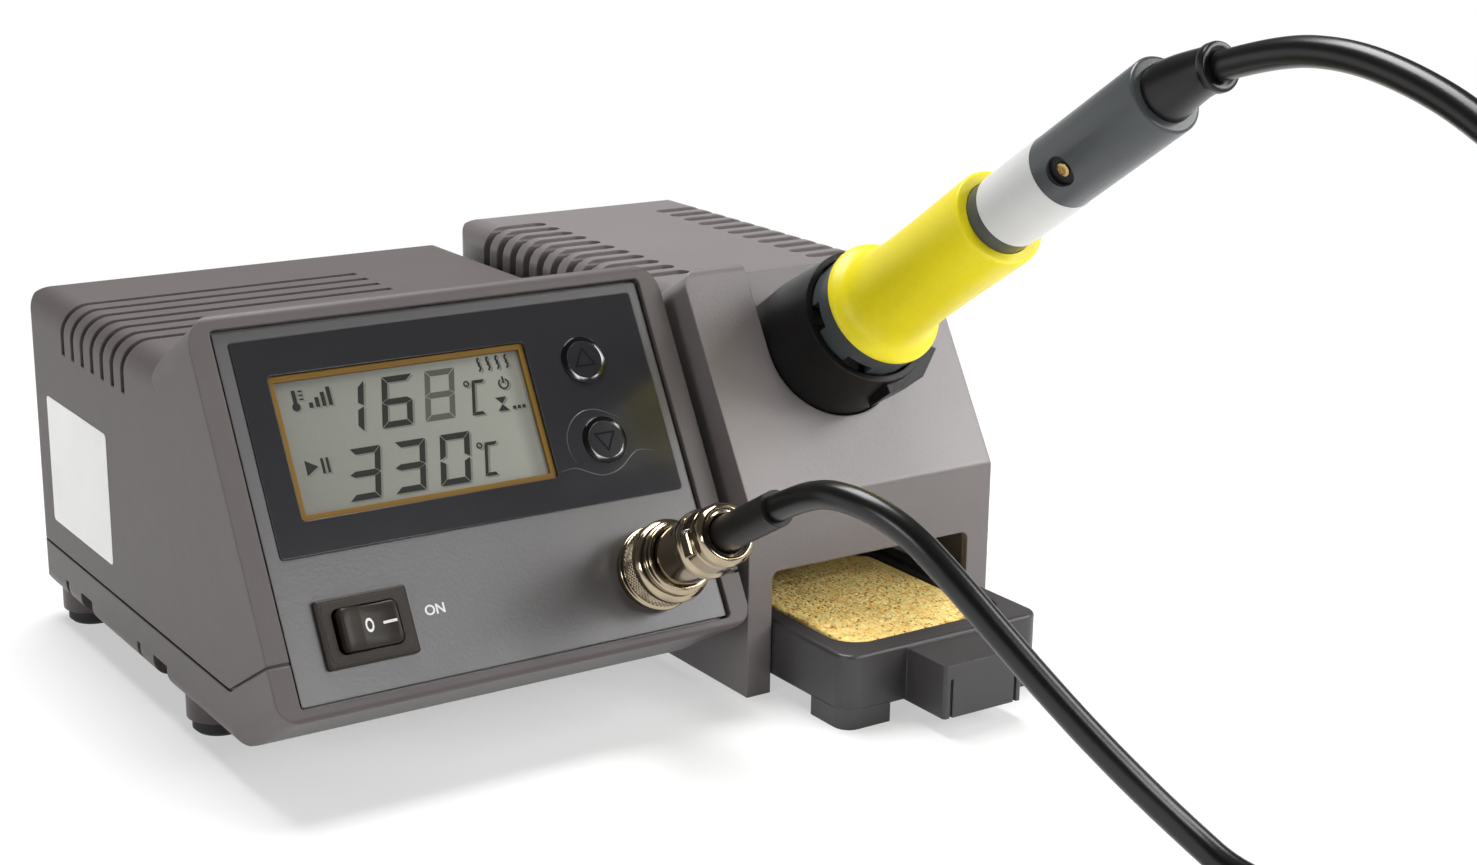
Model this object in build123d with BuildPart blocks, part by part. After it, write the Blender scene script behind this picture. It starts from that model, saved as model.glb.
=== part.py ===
"""Digital soldering station: control unit, iron stand, sponge tray, iron, plug and cord. Sizes in mm."""

from build123d import *
import os
from math import cos, pi, radians, sin, tan

os.makedirs("parts", exist_ok=True)

# Whole station
unit_width = 116.0  # control unit, side to side
stand_width = 72.0  # iron stand, side to side
side_gap = 3.5  # open gap between the two
unit_depth = 149.5  # panel's foot line to the back walls
wall = 2.2  # moulded walls
fit = 0.1  # round a piece that is seated
play = 0.06  # round a piece that turns or slides
reach = 60.0  # how far cutters run past what they cut

# Control unit housing
unit_top = 85.0
belly_z = 8.0  # underside of the lower housing
foot_z = 23.3  # height of the panel's foot line
lean = radians(30)  # panel, from upright
frame_side = 5.1  # frame beside the panel
panel_height = 82.6
panel_corner = 1.2
frame_over = 3.9  # frame above the panel
frame_proud = 1.0  # frame, out of the panel's face
lip_drop = 2.4  # lip under the panel
lip_corner = 5.0
chin_round = 8.0
belly_round = 10.0
unit_edge = 7.0  # long top edges
unit_corner = 5.0  # upright back edges
unit_brow = 4.0  # edge between top and back
unit_keel = 4.2  # long lower edges
hood_run = 24.7  # from over the panel's top edge back to where the hood meets the flat top
hood_sweep = 9.0
hood_corner = 8.0
seam_up = 10.5  # seam's height on the frame's sides
seam_z = 21.0
seam_round = 4.0
seam_groove = 0.7
vent_count = 7
vent_pitch = 6.8
vent_slot = 2.3
vent_last = 122.0  # rearmost slot, behind the foot line
vent_low = 73.2
vent_reach = 76.6  # from the left wall
foot_inset = 8.8
foot_front = 54.0
foot_rear = 138.0
foot_radius = 6.3
foot_high = 3.6
boss_radius = 7.5
post_radius = 3.5
screw_radius = 1.3

# Front panel and what it carries, up the slope and in from the panel's edges
panel_flange = 1.6
flange_lap = 1.2
groove = 0.7  # open line round the panel
overlay_left = 3.85  # panel's edges to the overlay's
overlay_right = 3.05
overlay_over = 3.1
overlay_corner = 0.8
overlay_under = 31.7
overlay_sunk = 0.5
overlay_proud = 0.3
window_left = 6.65  # overlay's edges to the window's
window_over = 8.3
window_under = 7.3
frame_band = 1.3  # amber frame round the display
board_gap = 7.4  # panel's face to the display board
board_thick = 1.6
button_right = 16.65  # overlay's edge to the buttons
button_left = 13.8  # window's edge to the buttons
button_rise = 0.3  # buttons' middle over the window's
button_apart = 19.2
button_radius = 4.7
button_ring = 0.9  # dark ring round a button
button_proud = 1.0
button_travel = 0.5
switch_in = 18.5  # from the panel's left edge
switch_up = 14.4
switch_bezel = (21.0, 15.0)
switch_body = (19.0, 12.8)
rocker_size = (13.8, 9.4)
rocker_tilt = 9.0
rocker_pivot = 0.3
pivot_radius = 1.2
socket_in = 16.5  # from the panel's right edge
socket_up = 14.2

# Plug, by radius and by height over the panel's face
ring_radius = 9.5
ring_low = 1.9
ring_knurl = 9.9
ring_end = 14.2
barrel_radius = 6.85
ring_seat = 0.65  # step from the barrel to the thread and to the clamp
barrel_end = 27.0
clamp_low = 24.2
clamp_end = 35.5
sleeve_radius = 4.0
sleeve_end = 56.0
pin_radius = 1.0

# Inside the control unit
core_unit = 9.5  # width of the transformer core's outer limbs
core_stack = 32.0
core_clear = 1.0  # bracket to the left wall
core_back = 106.0  # behind the foot line
pad_high = 3.0
strap = 1.2
strap_tab = 9.0
power_clear = 2.3  # board to the right wall
power_back = 95.0
power_size = (28.0, 70.0)
power_high = 7.0
gland_in = 24.0  # from the unit's right side
gland_up = 36.0
gland_radius = 6.0
gland_head = 2.0
mains_radius = 3.4
sink_long = 26.0
sink_high = 24.0
capacitor_radius = 6.0
capacitor_high = 20.0
fuse_size = (9.0, 22.0)

# Stand
stand_front = 4.9  # front face, behind the foot line
stand_top = 90.7
crease_z = 46.7
stand_lean = radians(31)
slab_up = 59.0  # slab's top edge, up the slope
slab_back = 53.0
slab_sweep = 6.0
stand_edge = 6.0
stand_corner = 5.0
stand_brow = 3.6  # edge between top and back
slit_count = 11
slit_pitch = 7.2
slit_last = 131.6
slit_width = 3.4
slit_low = 64.0
slit_reach = 8.5
channel_width = 4.4
channel_reach = 18.0
channel_deep = 1.2
opening_high = 30.1
lug_places = (78.0, 118.0)
lug_size = (4.0, 10.0)

# Holder and iron, by radius and by distance along the holder's axis from its seat
rise = radians(34)
seat_back = 36.4
seat_z = 69.1
notch_radius = 18.5
ring_base = 18.2
ring_mouth = 16.6
ring_long = 32.0
mouth_radius = 15.1
throat_radius = 13.0
spigot_radius = 14.2
guard_end = -61.0
collar_radius = 14.6
collar_end = 39.0
collar_tip = 30.5
tooth_count = 6
tooth_turn = 25.0
sleeve_rim = 87.4
flange_radius = 15.1
grip_radius = 11.1
tube_radius = 8.5
handle_tail = 145.0
screw_along = 110.4
screw_turn = 202.0
tip_end = -53.0
boot_radius = 4.55

# Sponge tray
tray_width = 57.8
tray_front = 24.0  # ahead of the foot line
tray_back = 44.0
tray_top = 18.0
tray_low = 4.6
tray_foot = 10.0
grip_block = 22.8
grip_out = 14.0
sponge_size = (43.0, 52.0)
sponge_top = 16.8

# Cord
cord_radius = 3.0
coil_right = 14.1  # coil's middle, right of the stand's
coil_ahead = 204.93  # ahead of the foot line
coil_radius = 37.0
coil_pitch = 6.6
coil_start = 44.5
coil_turned = 1214.5
coil_low = 3.95
coil_step = 6.6
tie_thick = 0.8
tie_width = 6.0

# Places worked out from the sizes: the origin is under the middle of the station without its cord
unit_mid = -(side_gap + stand_width) / 2
stand_mid = (side_gap + unit_width) / 2
tail_out = handle_tail * cos(rise) + tube_radius * sin(rise) - seat_back
foot_y = (tail_out - unit_depth - gland_head) / 2
back_y = foot_y + unit_depth
front_y = foot_y + stand_front
floor_z = belly_z + wall
panel_width = unit_width - 2 * frame_side
frame_top = panel_height + frame_over
hood_back = panel_height * sin(lean) + hood_run
overlay_size = (panel_width - overlay_left - overlay_right, panel_height - overlay_over - overlay_under)
overlay_at = ((overlay_left - overlay_right) / 2, overlay_under + overlay_size[1] / 2)
button_x = overlay_at[0] + overlay_size[0] / 2 - button_right
window_size = (
    overlay_size[0] - window_left - button_right - button_left,
    overlay_size[1] - window_over - window_under,
)
window_at = (button_x - button_left - window_size[0] / 2, overlay_under + window_under + window_size[1] / 2)
switch_at = (switch_in - panel_width / 2, switch_up)
socket_at = (panel_width / 2 - socket_in, socket_up)
thread_radius = barrel_radius + ring_seat
gland_x = unit_mid + unit_width / 2 - gland_in
panel_back = wall - frame_proud + fit + panel_flange
cap_low = panel_back + 1.6

panel = Plane(origin=(unit_mid, foot_y, foot_z), x_dir=(1, 0, 0), z_dir=(0, -cos(lean), sin(lean)))
plug = Plane(panel.from_local_coords((*socket_at, 0)), x_dir=(1, 0, 0), z_dir=panel.z_dir)
holder = Plane(origin=(stand_mid, foot_y + seat_back, seat_z), x_dir=(1, 0, 0), z_dir=(0, -cos(rise), sin(rise)))
slope = Plane(origin=(stand_mid, front_y, crease_z), x_dir=(1, 0, 0), z_dir=(0, -cos(stand_lean), sin(stand_lean)))
foot_places = [
    (unit_mid + side * (unit_width / 2 - foot_inset), foot_y + along)
    for side in (-1, 1)
    for along in (foot_front, foot_rear)
]


def panel_point(up, out):
    """Side-view place (y, z) by the distance up the panel's slope and out of its face."""
    return (foot_y + up * sin(lean) - out * cos(lean), foot_z + up * cos(lean) + out * sin(lean))


def spin(plane, outline):
    """A piece turned about the plane's normal from an outline of (radius, height)."""
    with BuildPart() as turned:
        with BuildSketch(Plane(plane.origin, x_dir=plane.x_dir, z_dir=-plane.y_dir)):
            with BuildLine():
                Polyline(*outline, close=True)
            make_face()
        revolve(axis=Axis(plane.origin, plane.z_dir))
    return turned.part


def upright(places, radius, low, high):
    """Round posts or holes between two heights."""
    with BuildPart() as posts:
        with BuildSketch(Plane.XY.offset(low)):
            with Locations(*places):
                Circle(radius)
        extrude(amount=high - low)
    return posts.part


def block(plane, middle, size, high):
    """A rectangular block or pocket raised from a plane."""
    with BuildPart() as raised:
        with BuildSketch(plane):
            with Locations(middle):
                Rectangle(*size)
        extrude(amount=high)
    return raised.part


def hood_side(side, top_edge, knee, sweep, root, inset):
    """Side view of a hood: a top edge, a falling back and a curved foot."""
    fall = (Vector(*top_edge) - Vector(*knee)).normalized() * sweep
    lower = Vector(*knee) + fall
    foot = Vector(knee[0] + sweep, knee[1])
    with BuildSketch(side) as outline:
        with BuildLine():
            Line(root, top_edge)
            Line(top_edge, lower)
            TangentArc(lower, foot, tangent=-fall)
            Polyline(foot, (knee[0] - sweep, knee[1] - unit_edge), (knee[0] - 2 * sweep, root[1]), root)
        make_face()
        fillet(vertices().sort_by_distance(top_edge)[0], radius=2.5)
        if inset:
            offset(amount=-inset)
    return outline.sketch


def unit_form(inset):
    """The control unit's form, drawn in by inset on every side."""
    half = unit_width / 2 - inset
    lip = panel_point(-lip_drop, frame_proud)
    crown = panel_point((unit_top - foot_z - frame_proud * sin(lean)) / cos(lean), frame_proud)
    chin = (lip[0] + (lip[1] - belly_z) / tan(lean), belly_z)
    side = Plane.YZ.offset(unit_mid - half)
    with BuildPart() as hood:
        top_edge = panel_point(frame_top, frame_proud)
        root = panel_point(frame_top - 40, frame_proud)
        outline = hood_side(side, top_edge, (foot_y + hood_back, unit_top), hood_sweep, root, inset)
        extrude(outline, amount=2 * half, dir=(1, 0, 0))
        with BuildSketch(panel.offset(-2 * reach)):
            with Locations((0, (frame_top - inset) / 2)):
                Rectangle(2 * half, frame_top - inset)
            fillet(vertices().group_by(Axis.Y)[-1], radius=hood_corner - inset)
        extrude(amount=3 * reach, mode=Mode.INTERSECT)
    with BuildPart() as form:
        with BuildSketch(side):
            with BuildLine():
                FilletPolyline(
                    *(lip, crown, (back_y, unit_top), (back_y, belly_z), chin),
                    radius=[1.2, 0, unit_brow, belly_round, chin_round],
                    close=True,
                )
            make_face()
            if inset:
                offset(amount=-inset)
        extrude(amount=2 * half, dir=(1, 0, 0))
        with BuildSketch(Plane.XZ):
            with Locations((unit_mid, (unit_top + belly_z) / 2)):
                Rectangle(2 * half, unit_top - belly_z - 2 * inset)
            fillet(vertices().group_by(Axis.Y)[-1], radius=unit_edge - inset)
            fillet(vertices().group_by(Axis.Y)[0], radius=unit_keel - inset)
        extrude(amount=4 * reach, both=True, mode=Mode.INTERSECT)
        with BuildSketch(Plane.XY):
            with Locations((unit_mid, back_y - inset - 2 * reach)):
                Rectangle(2 * half, 4 * reach)
            fillet(vertices().group_by(Axis.Y)[-1], radius=unit_corner - inset)
        extrude(amount=4 * reach, both=True, mode=Mode.INTERSECT)
        add(hood.part)
        with BuildSketch(panel.offset(reach)):
            corner = lip_corner - inset
            for turn in (-1, 1):
                with Locations((turn * (half - corner / 2), corner / 2 + inset - lip_drop)):
                    Rectangle(corner, corner)
                with Locations((turn * (half - corner), corner + inset - lip_drop)):
                    Circle(corner, mode=Mode.SUBTRACT)
        extrude(amount=-2 * reach, mode=Mode.SUBTRACT)
    return form.part


def below_seam(drop):
    """All the space below the housing seam, lowered by drop."""
    up = seam_up - drop
    front = panel_point(up, reach)
    kink = panel_point(up, (seam_z - drop - foot_z - up * cos(lean)) / sin(lean))
    with BuildPart() as below:
        with BuildSketch(Plane.YZ.offset(unit_mid - unit_width)):
            with BuildLine():
                FilletPolyline(
                    *(front, kink, (back_y + reach, seam_z - drop), (back_y + reach, -reach), (front[0], -reach)),
                    radius=[0, seam_round, 0, 0, 0],
                    close=True,
                )
            make_face()
        extrude(amount=2 * unit_width)
    return below.part


def stand_form(inset):
    """The stand's form without its notch, drawn in by inset and running on below the table."""
    half = stand_width / 2 - inset
    side = Plane.YZ.offset(stand_mid - half)
    brow = (front_y + (stand_top - crease_z) * tan(stand_lean), stand_top)
    edge = (front_y + slab_up * sin(stand_lean), crease_z + slab_up * cos(stand_lean))
    root_up = slab_up - 26
    with BuildPart() as slab:
        root = (front_y + root_up * sin(stand_lean), crease_z + root_up * cos(stand_lean))
        outline = hood_side(side, edge, (foot_y + slab_back, stand_top), slab_sweep, root, inset)
        extrude(outline, amount=2 * half, dir=(1, 0, 0))
        with BuildSketch(slope.offset(-reach)):
            with Locations((0, (slab_up - inset) / 2)):
                Rectangle(2 * half, slab_up - inset)
            fillet(vertices().group_by(Axis.Y)[-1], radius=stand_corner - inset)
        extrude(amount=2 * reach, mode=Mode.INTERSECT)
    with BuildPart() as form:
        with BuildSketch(side):
            with BuildLine():
                FilletPolyline(
                    *((front_y, -reach), (front_y, crease_z), brow, (back_y, stand_top), (back_y, -reach)),
                    radius=[0, 3, 0, stand_brow, 0],
                    close=True,
                )
            make_face()
            if inset:
                offset(amount=-inset)
        extrude(amount=2 * half, dir=(1, 0, 0))
        with BuildSketch(Plane.XZ):
            with Locations((stand_mid, stand_top - inset - reach)):
                Rectangle(2 * half, 2 * reach)
            fillet(vertices().group_by(Axis.Y)[-1], radius=stand_edge - inset)
        extrude(amount=4 * reach, both=True, mode=Mode.INTERSECT)
        with BuildSketch(Plane.XY):
            with Locations((stand_mid, back_y - inset - 2 * reach)):
                Rectangle(2 * half, 4 * reach)
            fillet(vertices().group_by(Axis.Y)[-1], radius=stand_corner - inset)
        extrude(amount=4 * reach, both=True, mode=Mode.INTERSECT)
        add(slab.part)
    return form.part


def notch_form(grow):
    """The round-bottomed notch that the holder ring stands in, grown by grow."""
    with BuildPart() as notch:
        with BuildSketch(holder.offset(-grow)):
            Circle(notch_radius + grow)
            with Locations((0, reach / 2)):
                Rectangle(2 * (notch_radius + grow), reach)
        extrude(amount=reach + grow)
    return notch.part


# Control unit: upper and lower housing, split along the seam

unit_outside = unit_form(0)
unit_inside = unit_form(wall)

with BuildPart() as upper_posts:
    add(upright(foot_places, post_radius, seam_z, unit_top + reach))
    add(unit_form(wall / 2), mode=Mode.INTERSECT)

with BuildPart() as upper_housing:
    add(unit_outside)
    add(unit_inside, mode=Mode.SUBTRACT)
    add(upper_posts.part)
    add(below_seam(0), mode=Mode.SUBTRACT)
    add(upright(foot_places, screw_radius + play, seam_z - 1, seam_z + 12), mode=Mode.SUBTRACT)
    with BuildSketch(panel.offset(-wall)):
        with Locations((0, panel_height / 2)):
            RectangleRounded(panel_width, panel_height, panel_corner)
    extrude(amount=reach, mode=Mode.SUBTRACT)
    with BuildSketch(Plane.XY.offset(vent_low)):
        with Locations((unit_mid - unit_width / 2, foot_y + vent_last - vent_pitch * (vent_count - 1) / 2)):
            with GridLocations(0, vent_pitch, 1, vent_count):
                Rectangle(2 * vent_reach, vent_slot)
    extrude(amount=reach, mode=Mode.SUBTRACT)
    with BuildSketch(Plane.XZ.offset(-back_y - reach)):
        with Locations((gland_x, gland_up)):
            Circle(gland_radius + fit / 2)
    extrude(amount=reach + 2 * wall, mode=Mode.SUBTRACT)
    with BuildSketch(Plane.YZ.offset(unit_mid + unit_width / 2 - 2 * wall)):
        for along in lug_places:
            with Locations((foot_y + along, seat_z - 20)):
                Rectangle(lug_size[0] + 2 * fit, lug_size[1] + 2 * fit)
            with Locations((foot_y + along, seat_z - 20 + lug_size[1])):
                Rectangle(2 * lug_size[0] + 2 * fit, lug_size[1] + 2 * fit)
    extrude(amount=3 * wall, mode=Mode.SUBTRACT)

with BuildPart() as groove_ring:
    add(unit_outside)
    add(unit_form(seam_groove), mode=Mode.SUBTRACT)
    add(below_seam(0), mode=Mode.INTERSECT)
    add(below_seam(seam_groove), mode=Mode.SUBTRACT)

core_long = 6 * core_unit
core_high = 5 * core_unit
core_x = unit_mid - unit_width / 2 + wall + core_clear + core_long / 2 + fit + strap + strap_tab
core_y = foot_y + core_back
core_z = floor_z + pad_high
tab_out = core_long / 2 + fit + strap + strap_tab / 2
tab_places = [(core_x - tab_out, core_y), (core_x + tab_out, core_y)]
power_x = unit_mid + unit_width / 2 - wall - power_clear - power_size[0] / 2
power_y = foot_y + power_back
power_z = floor_z + power_high
power_places = [
    (power_x + a * (power_size[0] / 2 - 3.5), power_y + b * (power_size[1] / 2 - 3.5))
    for a in (-1, 1)
    for b in (-1, 1)
]

with BuildPart() as lower_housing:
    add(unit_outside)
    add(unit_inside, mode=Mode.SUBTRACT)
    add(upright(foot_places, post_radius, belly_z + 1, seam_z))
    add(upright(foot_places, boss_radius, foot_high, floor_z))
    add(below_seam(0), mode=Mode.INTERSECT)
    add(groove_ring.part, mode=Mode.SUBTRACT)
    add(upright(foot_places, screw_radius + 0.3, foot_high - 1, seam_z + 1), mode=Mode.SUBTRACT)
    add(upright(foot_places, 3.2, foot_high - 1, foot_high + 3), mode=Mode.SUBTRACT)
    with BuildSketch(panel.offset(-wall)):
        with Locations((0, panel_height / 2)):
            RectangleRounded(panel_width, panel_height, panel_corner)
    extrude(amount=reach, mode=Mode.SUBTRACT)
    # Air openings along the lower edge of both side walls
    with BuildSketch(Plane.XY.offset(belly_z - 1)):
        for side in (-1, 1):
            with Locations((unit_mid + side * unit_width / 2, foot_y + 116.4)):
                Rectangle(2 * wall + 3, 8)
            with Locations((unit_mid + side * unit_width / 2, foot_y + 66.8)):
                Rectangle(2 * wall + 3, 8.6)
            with Locations((unit_mid + side * unit_width / 2, foot_y + 130.4)):
                Rectangle(wall, 2)
            with Locations((unit_mid + side * unit_width / 2, foot_y + 80.5)):
                Rectangle(wall, 2)
    extrude(amount=6.6, mode=Mode.SUBTRACT)
    for away in (-core_stack / 3, core_stack / 3):
        add(block(Plane.XY.offset(belly_z + 1), (core_x, core_y + away), (core_long - 6, 4), core_z - belly_z - 1))
    add(upright(tab_places, 4, belly_z + 1, core_z))
    add(upright(tab_places, screw_radius + play, floor_z, core_z), mode=Mode.SUBTRACT)
    add(upright(power_places, 2.6, belly_z + 1, power_z))
    add(upright(power_places, screw_radius + play, floor_z, power_z), mode=Mode.SUBTRACT)

with BuildPart() as rubber_feet:
    add(upright(foot_places, foot_radius, 0, foot_high))
    chamfer(rubber_feet.edges().group_by(Axis.Z)[0], length=0.8)

with BuildPart() as housing_screws:
    add(upright(foot_places, 2.8, foot_high + 1, foot_high + 3))
    add(upright(foot_places, screw_radius, foot_high + 3, seam_z + 10))

# Front panel with its posts for the display board

board_size = (overlay_size[0] - 1, overlay_size[1] - 2)
board_places = [
    (overlay_at[0] + a * (board_size[0] / 2 - 2.6), overlay_at[1] + b * (board_size[1] / 2 - 3.4))
    for a in (-1, 1)
    for b in (-1, 1)
]
button_places = [(button_x, window_at[1] + button_rise + side * button_apart / 2) for side in (1, -1)]

with BuildPart() as front_panel:
    with BuildSketch(panel.offset(-panel_back)):
        with Locations((0, panel_height / 2)):
            RectangleRounded(panel_width - 2 * groove, panel_height - 2 * groove, panel_corner - groove)
    extrude(amount=panel_back)
    flange_low = wall - lip_drop + 0.4
    flange_top = panel_height + flange_lap
    with BuildSketch(panel.offset(-panel_back)):
        with Locations((0, (flange_low + flange_top) / 2)):
            RectangleRounded(panel_width + 2 * flange_lap, flange_top - flange_low, hood_corner / 2)
    extrude(amount=panel_flange)
    with BuildSketch(panel.offset(-board_gap)):
        with Locations(*board_places):
            Circle(2)
    extrude(amount=board_gap - panel_back + 0.5)
    with BuildSketch(panel.offset(-overlay_sunk)):
        with Locations(overlay_at):
            RectangleRounded(overlay_size[0] + 2 * fit, overlay_size[1] + 2 * fit, overlay_corner + fit)
    extrude(amount=reach, mode=Mode.SUBTRACT)
    add(block(panel.offset(-reach), window_at, (window_size[0] + fit, window_size[1] + fit), 2 * reach), mode=Mode.SUBTRACT)
    add(block(panel.offset(-reach), switch_at, (switch_body[0] + fit, switch_body[1] + fit), 2 * reach), mode=Mode.SUBTRACT)
    with BuildSketch(panel.offset(-reach)):
        with Locations(*button_places):
            Circle(button_radius + fit)
        with Locations(socket_at):
            Circle(thread_radius + fit)
    extrude(amount=2 * reach, mode=Mode.SUBTRACT)
    with BuildSketch(panel.offset(-board_gap)):
        with Locations(*board_places):
            Circle(0.9)
    extrude(amount=board_gap - panel_back, mode=Mode.SUBTRACT)

# Display: overlay, amber frame, glass, light guide and board

with BuildPart() as display_overlay:
    with BuildSketch(panel.offset(-overlay_sunk)):
        with Locations(overlay_at):
            RectangleRounded(*overlay_size, overlay_corner)
        with Locations(window_at):
            RectangleRounded(*window_size, 1.0, mode=Mode.SUBTRACT)
        with Locations(*button_places):
            Circle(button_radius + button_ring, mode=Mode.SUBTRACT)
    extrude(amount=overlay_sunk + overlay_proud)

frame_size = (window_size[0] - 0.2, window_size[1] - 0.2)
glass_size = (frame_size[0] - 2 * frame_band, frame_size[1] - 2 * frame_band)

with BuildPart() as lcd_frame:
    add(block(panel.offset(-cap_low), window_at, frame_size, cap_low - overlay_sunk))
    add(block(panel.offset(-cap_low), window_at, (frame_size[0] + 2, frame_size[1] + 3), cap_low - panel_back - fit))
    add(block(panel.offset(-reach), window_at, glass_size, 2 * reach), mode=Mode.SUBTRACT)

with BuildPart() as lcd_glass:
    add(block(panel.offset(-cap_low), window_at, (glass_size[0] - fit, glass_size[1] - fit), cap_low - 1.2))

with BuildPart() as light_guide:
    add(block(panel.offset(-board_gap), window_at, frame_size, board_gap - cap_low))

with BuildPart() as display_board:
    add(block(panel.offset(-board_gap - board_thick), overlay_at, board_size, board_thick))
    with BuildSketch(panel.offset(-reach)):
        with Locations(*board_places):
            Circle(1.1)
    extrude(amount=2 * reach, mode=Mode.SUBTRACT)

with BuildPart() as display_screws:
    with BuildSketch(panel.offset(-board_gap - board_thick - 1.4)):
        with Locations(*board_places):
            Circle(1.9)
    extrude(amount=1.4)
    with BuildSketch(panel.offset(-board_gap - board_thick)):
        with Locations(*board_places):
            Circle(0.85)
    extrude(amount=board_thick + 3)

with BuildPart() as tact_switches:
    with BuildSketch(panel.offset(-board_gap)):
        with Locations(*button_places):
            Rectangle(6, 6)
    extrude(amount=1.6)
    with BuildSketch(panel.offset(-board_gap)):
        with Locations(*button_places):
            Circle(1.7)
    extrude(amount=board_gap - cap_low - button_travel - fit)


def button_cap(place):
    """A round button with a retaining flange behind the panel."""
    with BuildPart() as cap:
        with BuildSketch(panel.offset(-cap_low)):
            with Locations(place):
                Circle(button_radius)
        extrude(amount=cap_low + button_proud)
        fillet(cap.faces().sort_by(Axis(panel.origin, panel.z_dir))[-1].edges(), radius=0.6)
        with BuildSketch(panel.offset(-cap_low)):
            with Locations(place):
                Circle(button_radius + 1.4)
        extrude(amount=cap_low - panel_back - fit)
    return cap


button_up = button_cap(button_places[0])
button_down = button_cap(button_places[1])

# Rocker switch: frame, rocker on its two pivots, terminals

pivot_at = panel.from_local_coords((*switch_at, rocker_pivot))
tilt = radians(rocker_tilt)
rocker_out = Vector(sin(tilt), 0, 0) + panel.z_dir * cos(tilt)
rocker_plane = Plane(pivot_at, x_dir=panel.y_dir.cross(rocker_out), z_dir=-panel.y_dir)
pivot_plane = Plane(pivot_at, x_dir=(1, 0, 0), z_dir=-panel.y_dir)
well = (rocker_size[0] + 1.4, rocker_size[1] + 0.4)

with BuildPart() as switch_frame:
    with BuildSketch(panel):
        with Locations(switch_at):
            RectangleRounded(*switch_bezel, 0.8)
    extrude(amount=1.6)
    chamfer(switch_frame.faces().sort_by(Axis(panel.origin, panel.z_dir))[-1].edges(), length=0.5)
    add(block(panel.offset(-16), switch_at, switch_body, 16))
    add(block(panel.offset(-7), switch_at, well, 12), mode=Mode.SUBTRACT)
    with BuildSketch(pivot_plane):
        Circle(pivot_radius + play)
    extrude(amount=well[1] / 2 + 0.9, both=True, mode=Mode.SUBTRACT)

with BuildPart() as rocker:
    half = rocker_size[0] / 2
    with BuildSketch(rocker_plane):
        with BuildLine():
            Polyline((-half, -1.5), (-half, 3.0), (0, 1.9), (half, 3.0), (half, -1.5))
            ThreePointArc((half, -1.5), (0, -4.5), (-half, -1.5))
        make_face()
    extrude(amount=rocker_size[1] / 2, both=True)
    with BuildSketch(rocker_plane):
        Circle(pivot_radius)
    extrude(amount=well[1] / 2 + 0.8, both=True)

with BuildPart() as switch_terminals:
    with BuildSketch(panel.offset(-22)):
        with Locations(*[(switch_at[0] + x, switch_at[1]) for x in (-6, 0, 6)]):
            Rectangle(0.8, 4.8)
    extrude(amount=6)

# Panel socket and its nut

with BuildPart() as panel_socket:
    add(spin(
        plug,
        [(5.8, -10), (thread_radius, -10), (thread_radius, 0), (9, 0), (9, 1.6), (thread_radius, 1.6)]
        + [(thread_radius, 6.6), (5.8, 6.6)],
    ))

with BuildPart() as socket_nut:
    with BuildSketch(plug.offset(-panel_back - 3)):
        RegularPolygon(10.5, 6)
        Circle(thread_radius + play, mode=Mode.SUBTRACT)
    extrude(amount=3)

with BuildPart() as socket_insert:
    with BuildSketch(plug.offset(-9)):
        Circle(5.75)
        with PolarLocations(3.2, 5):
            Circle(pin_radius + play, mode=Mode.SUBTRACT)
    extrude(amount=8)

# Plug: shell, insert with pins, coupling ring, washer, clamp and cable sleeve

with BuildPart() as plug_shell:
    add(spin(
        plug,
        [(4.9, 0.4), (5.7, 0.4), (5.7, 7), (thread_radius - 0.05, 7), (thread_radius - 0.05, 8.4)]
        + [(barrel_radius, 8.4), (barrel_radius, barrel_end), (4.9, barrel_end)],
    ))

with BuildPart() as plug_insert:
    with BuildSketch(plug.offset(0.6)):
        Circle(4.85)
    extrude(amount=9)
    with BuildSketch(plug.offset(-6)):
        with PolarLocations(3.2, 5):
            Circle(pin_radius)
    extrude(amount=8)

with BuildPart() as coupling_ring:
    add(spin(
        plug,
        [(thread_radius + play, ring_low), (ring_radius - 0.5, ring_low), (ring_radius, ring_low + 0.5)]
        + [(ring_radius, ring_knurl - 0.5), (ring_radius - 0.5, ring_knurl), (8.2, ring_knurl)]
        + [(8.2, ring_knurl + 0.8), (8.8, ring_knurl + 0.8), (8.8, ring_end - 0.6), (8.2, ring_end)]
        + [(barrel_radius + play, ring_end), (barrel_radius + play, 9), (thread_radius + play, 9)],
    ))

with BuildPart() as ring_washer:
    with BuildSketch(plug.offset(8.5)):
        Circle(thread_radius - 0.05)
        Circle(barrel_radius + play, mode=Mode.SUBTRACT)
    extrude(amount=0.4)

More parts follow.
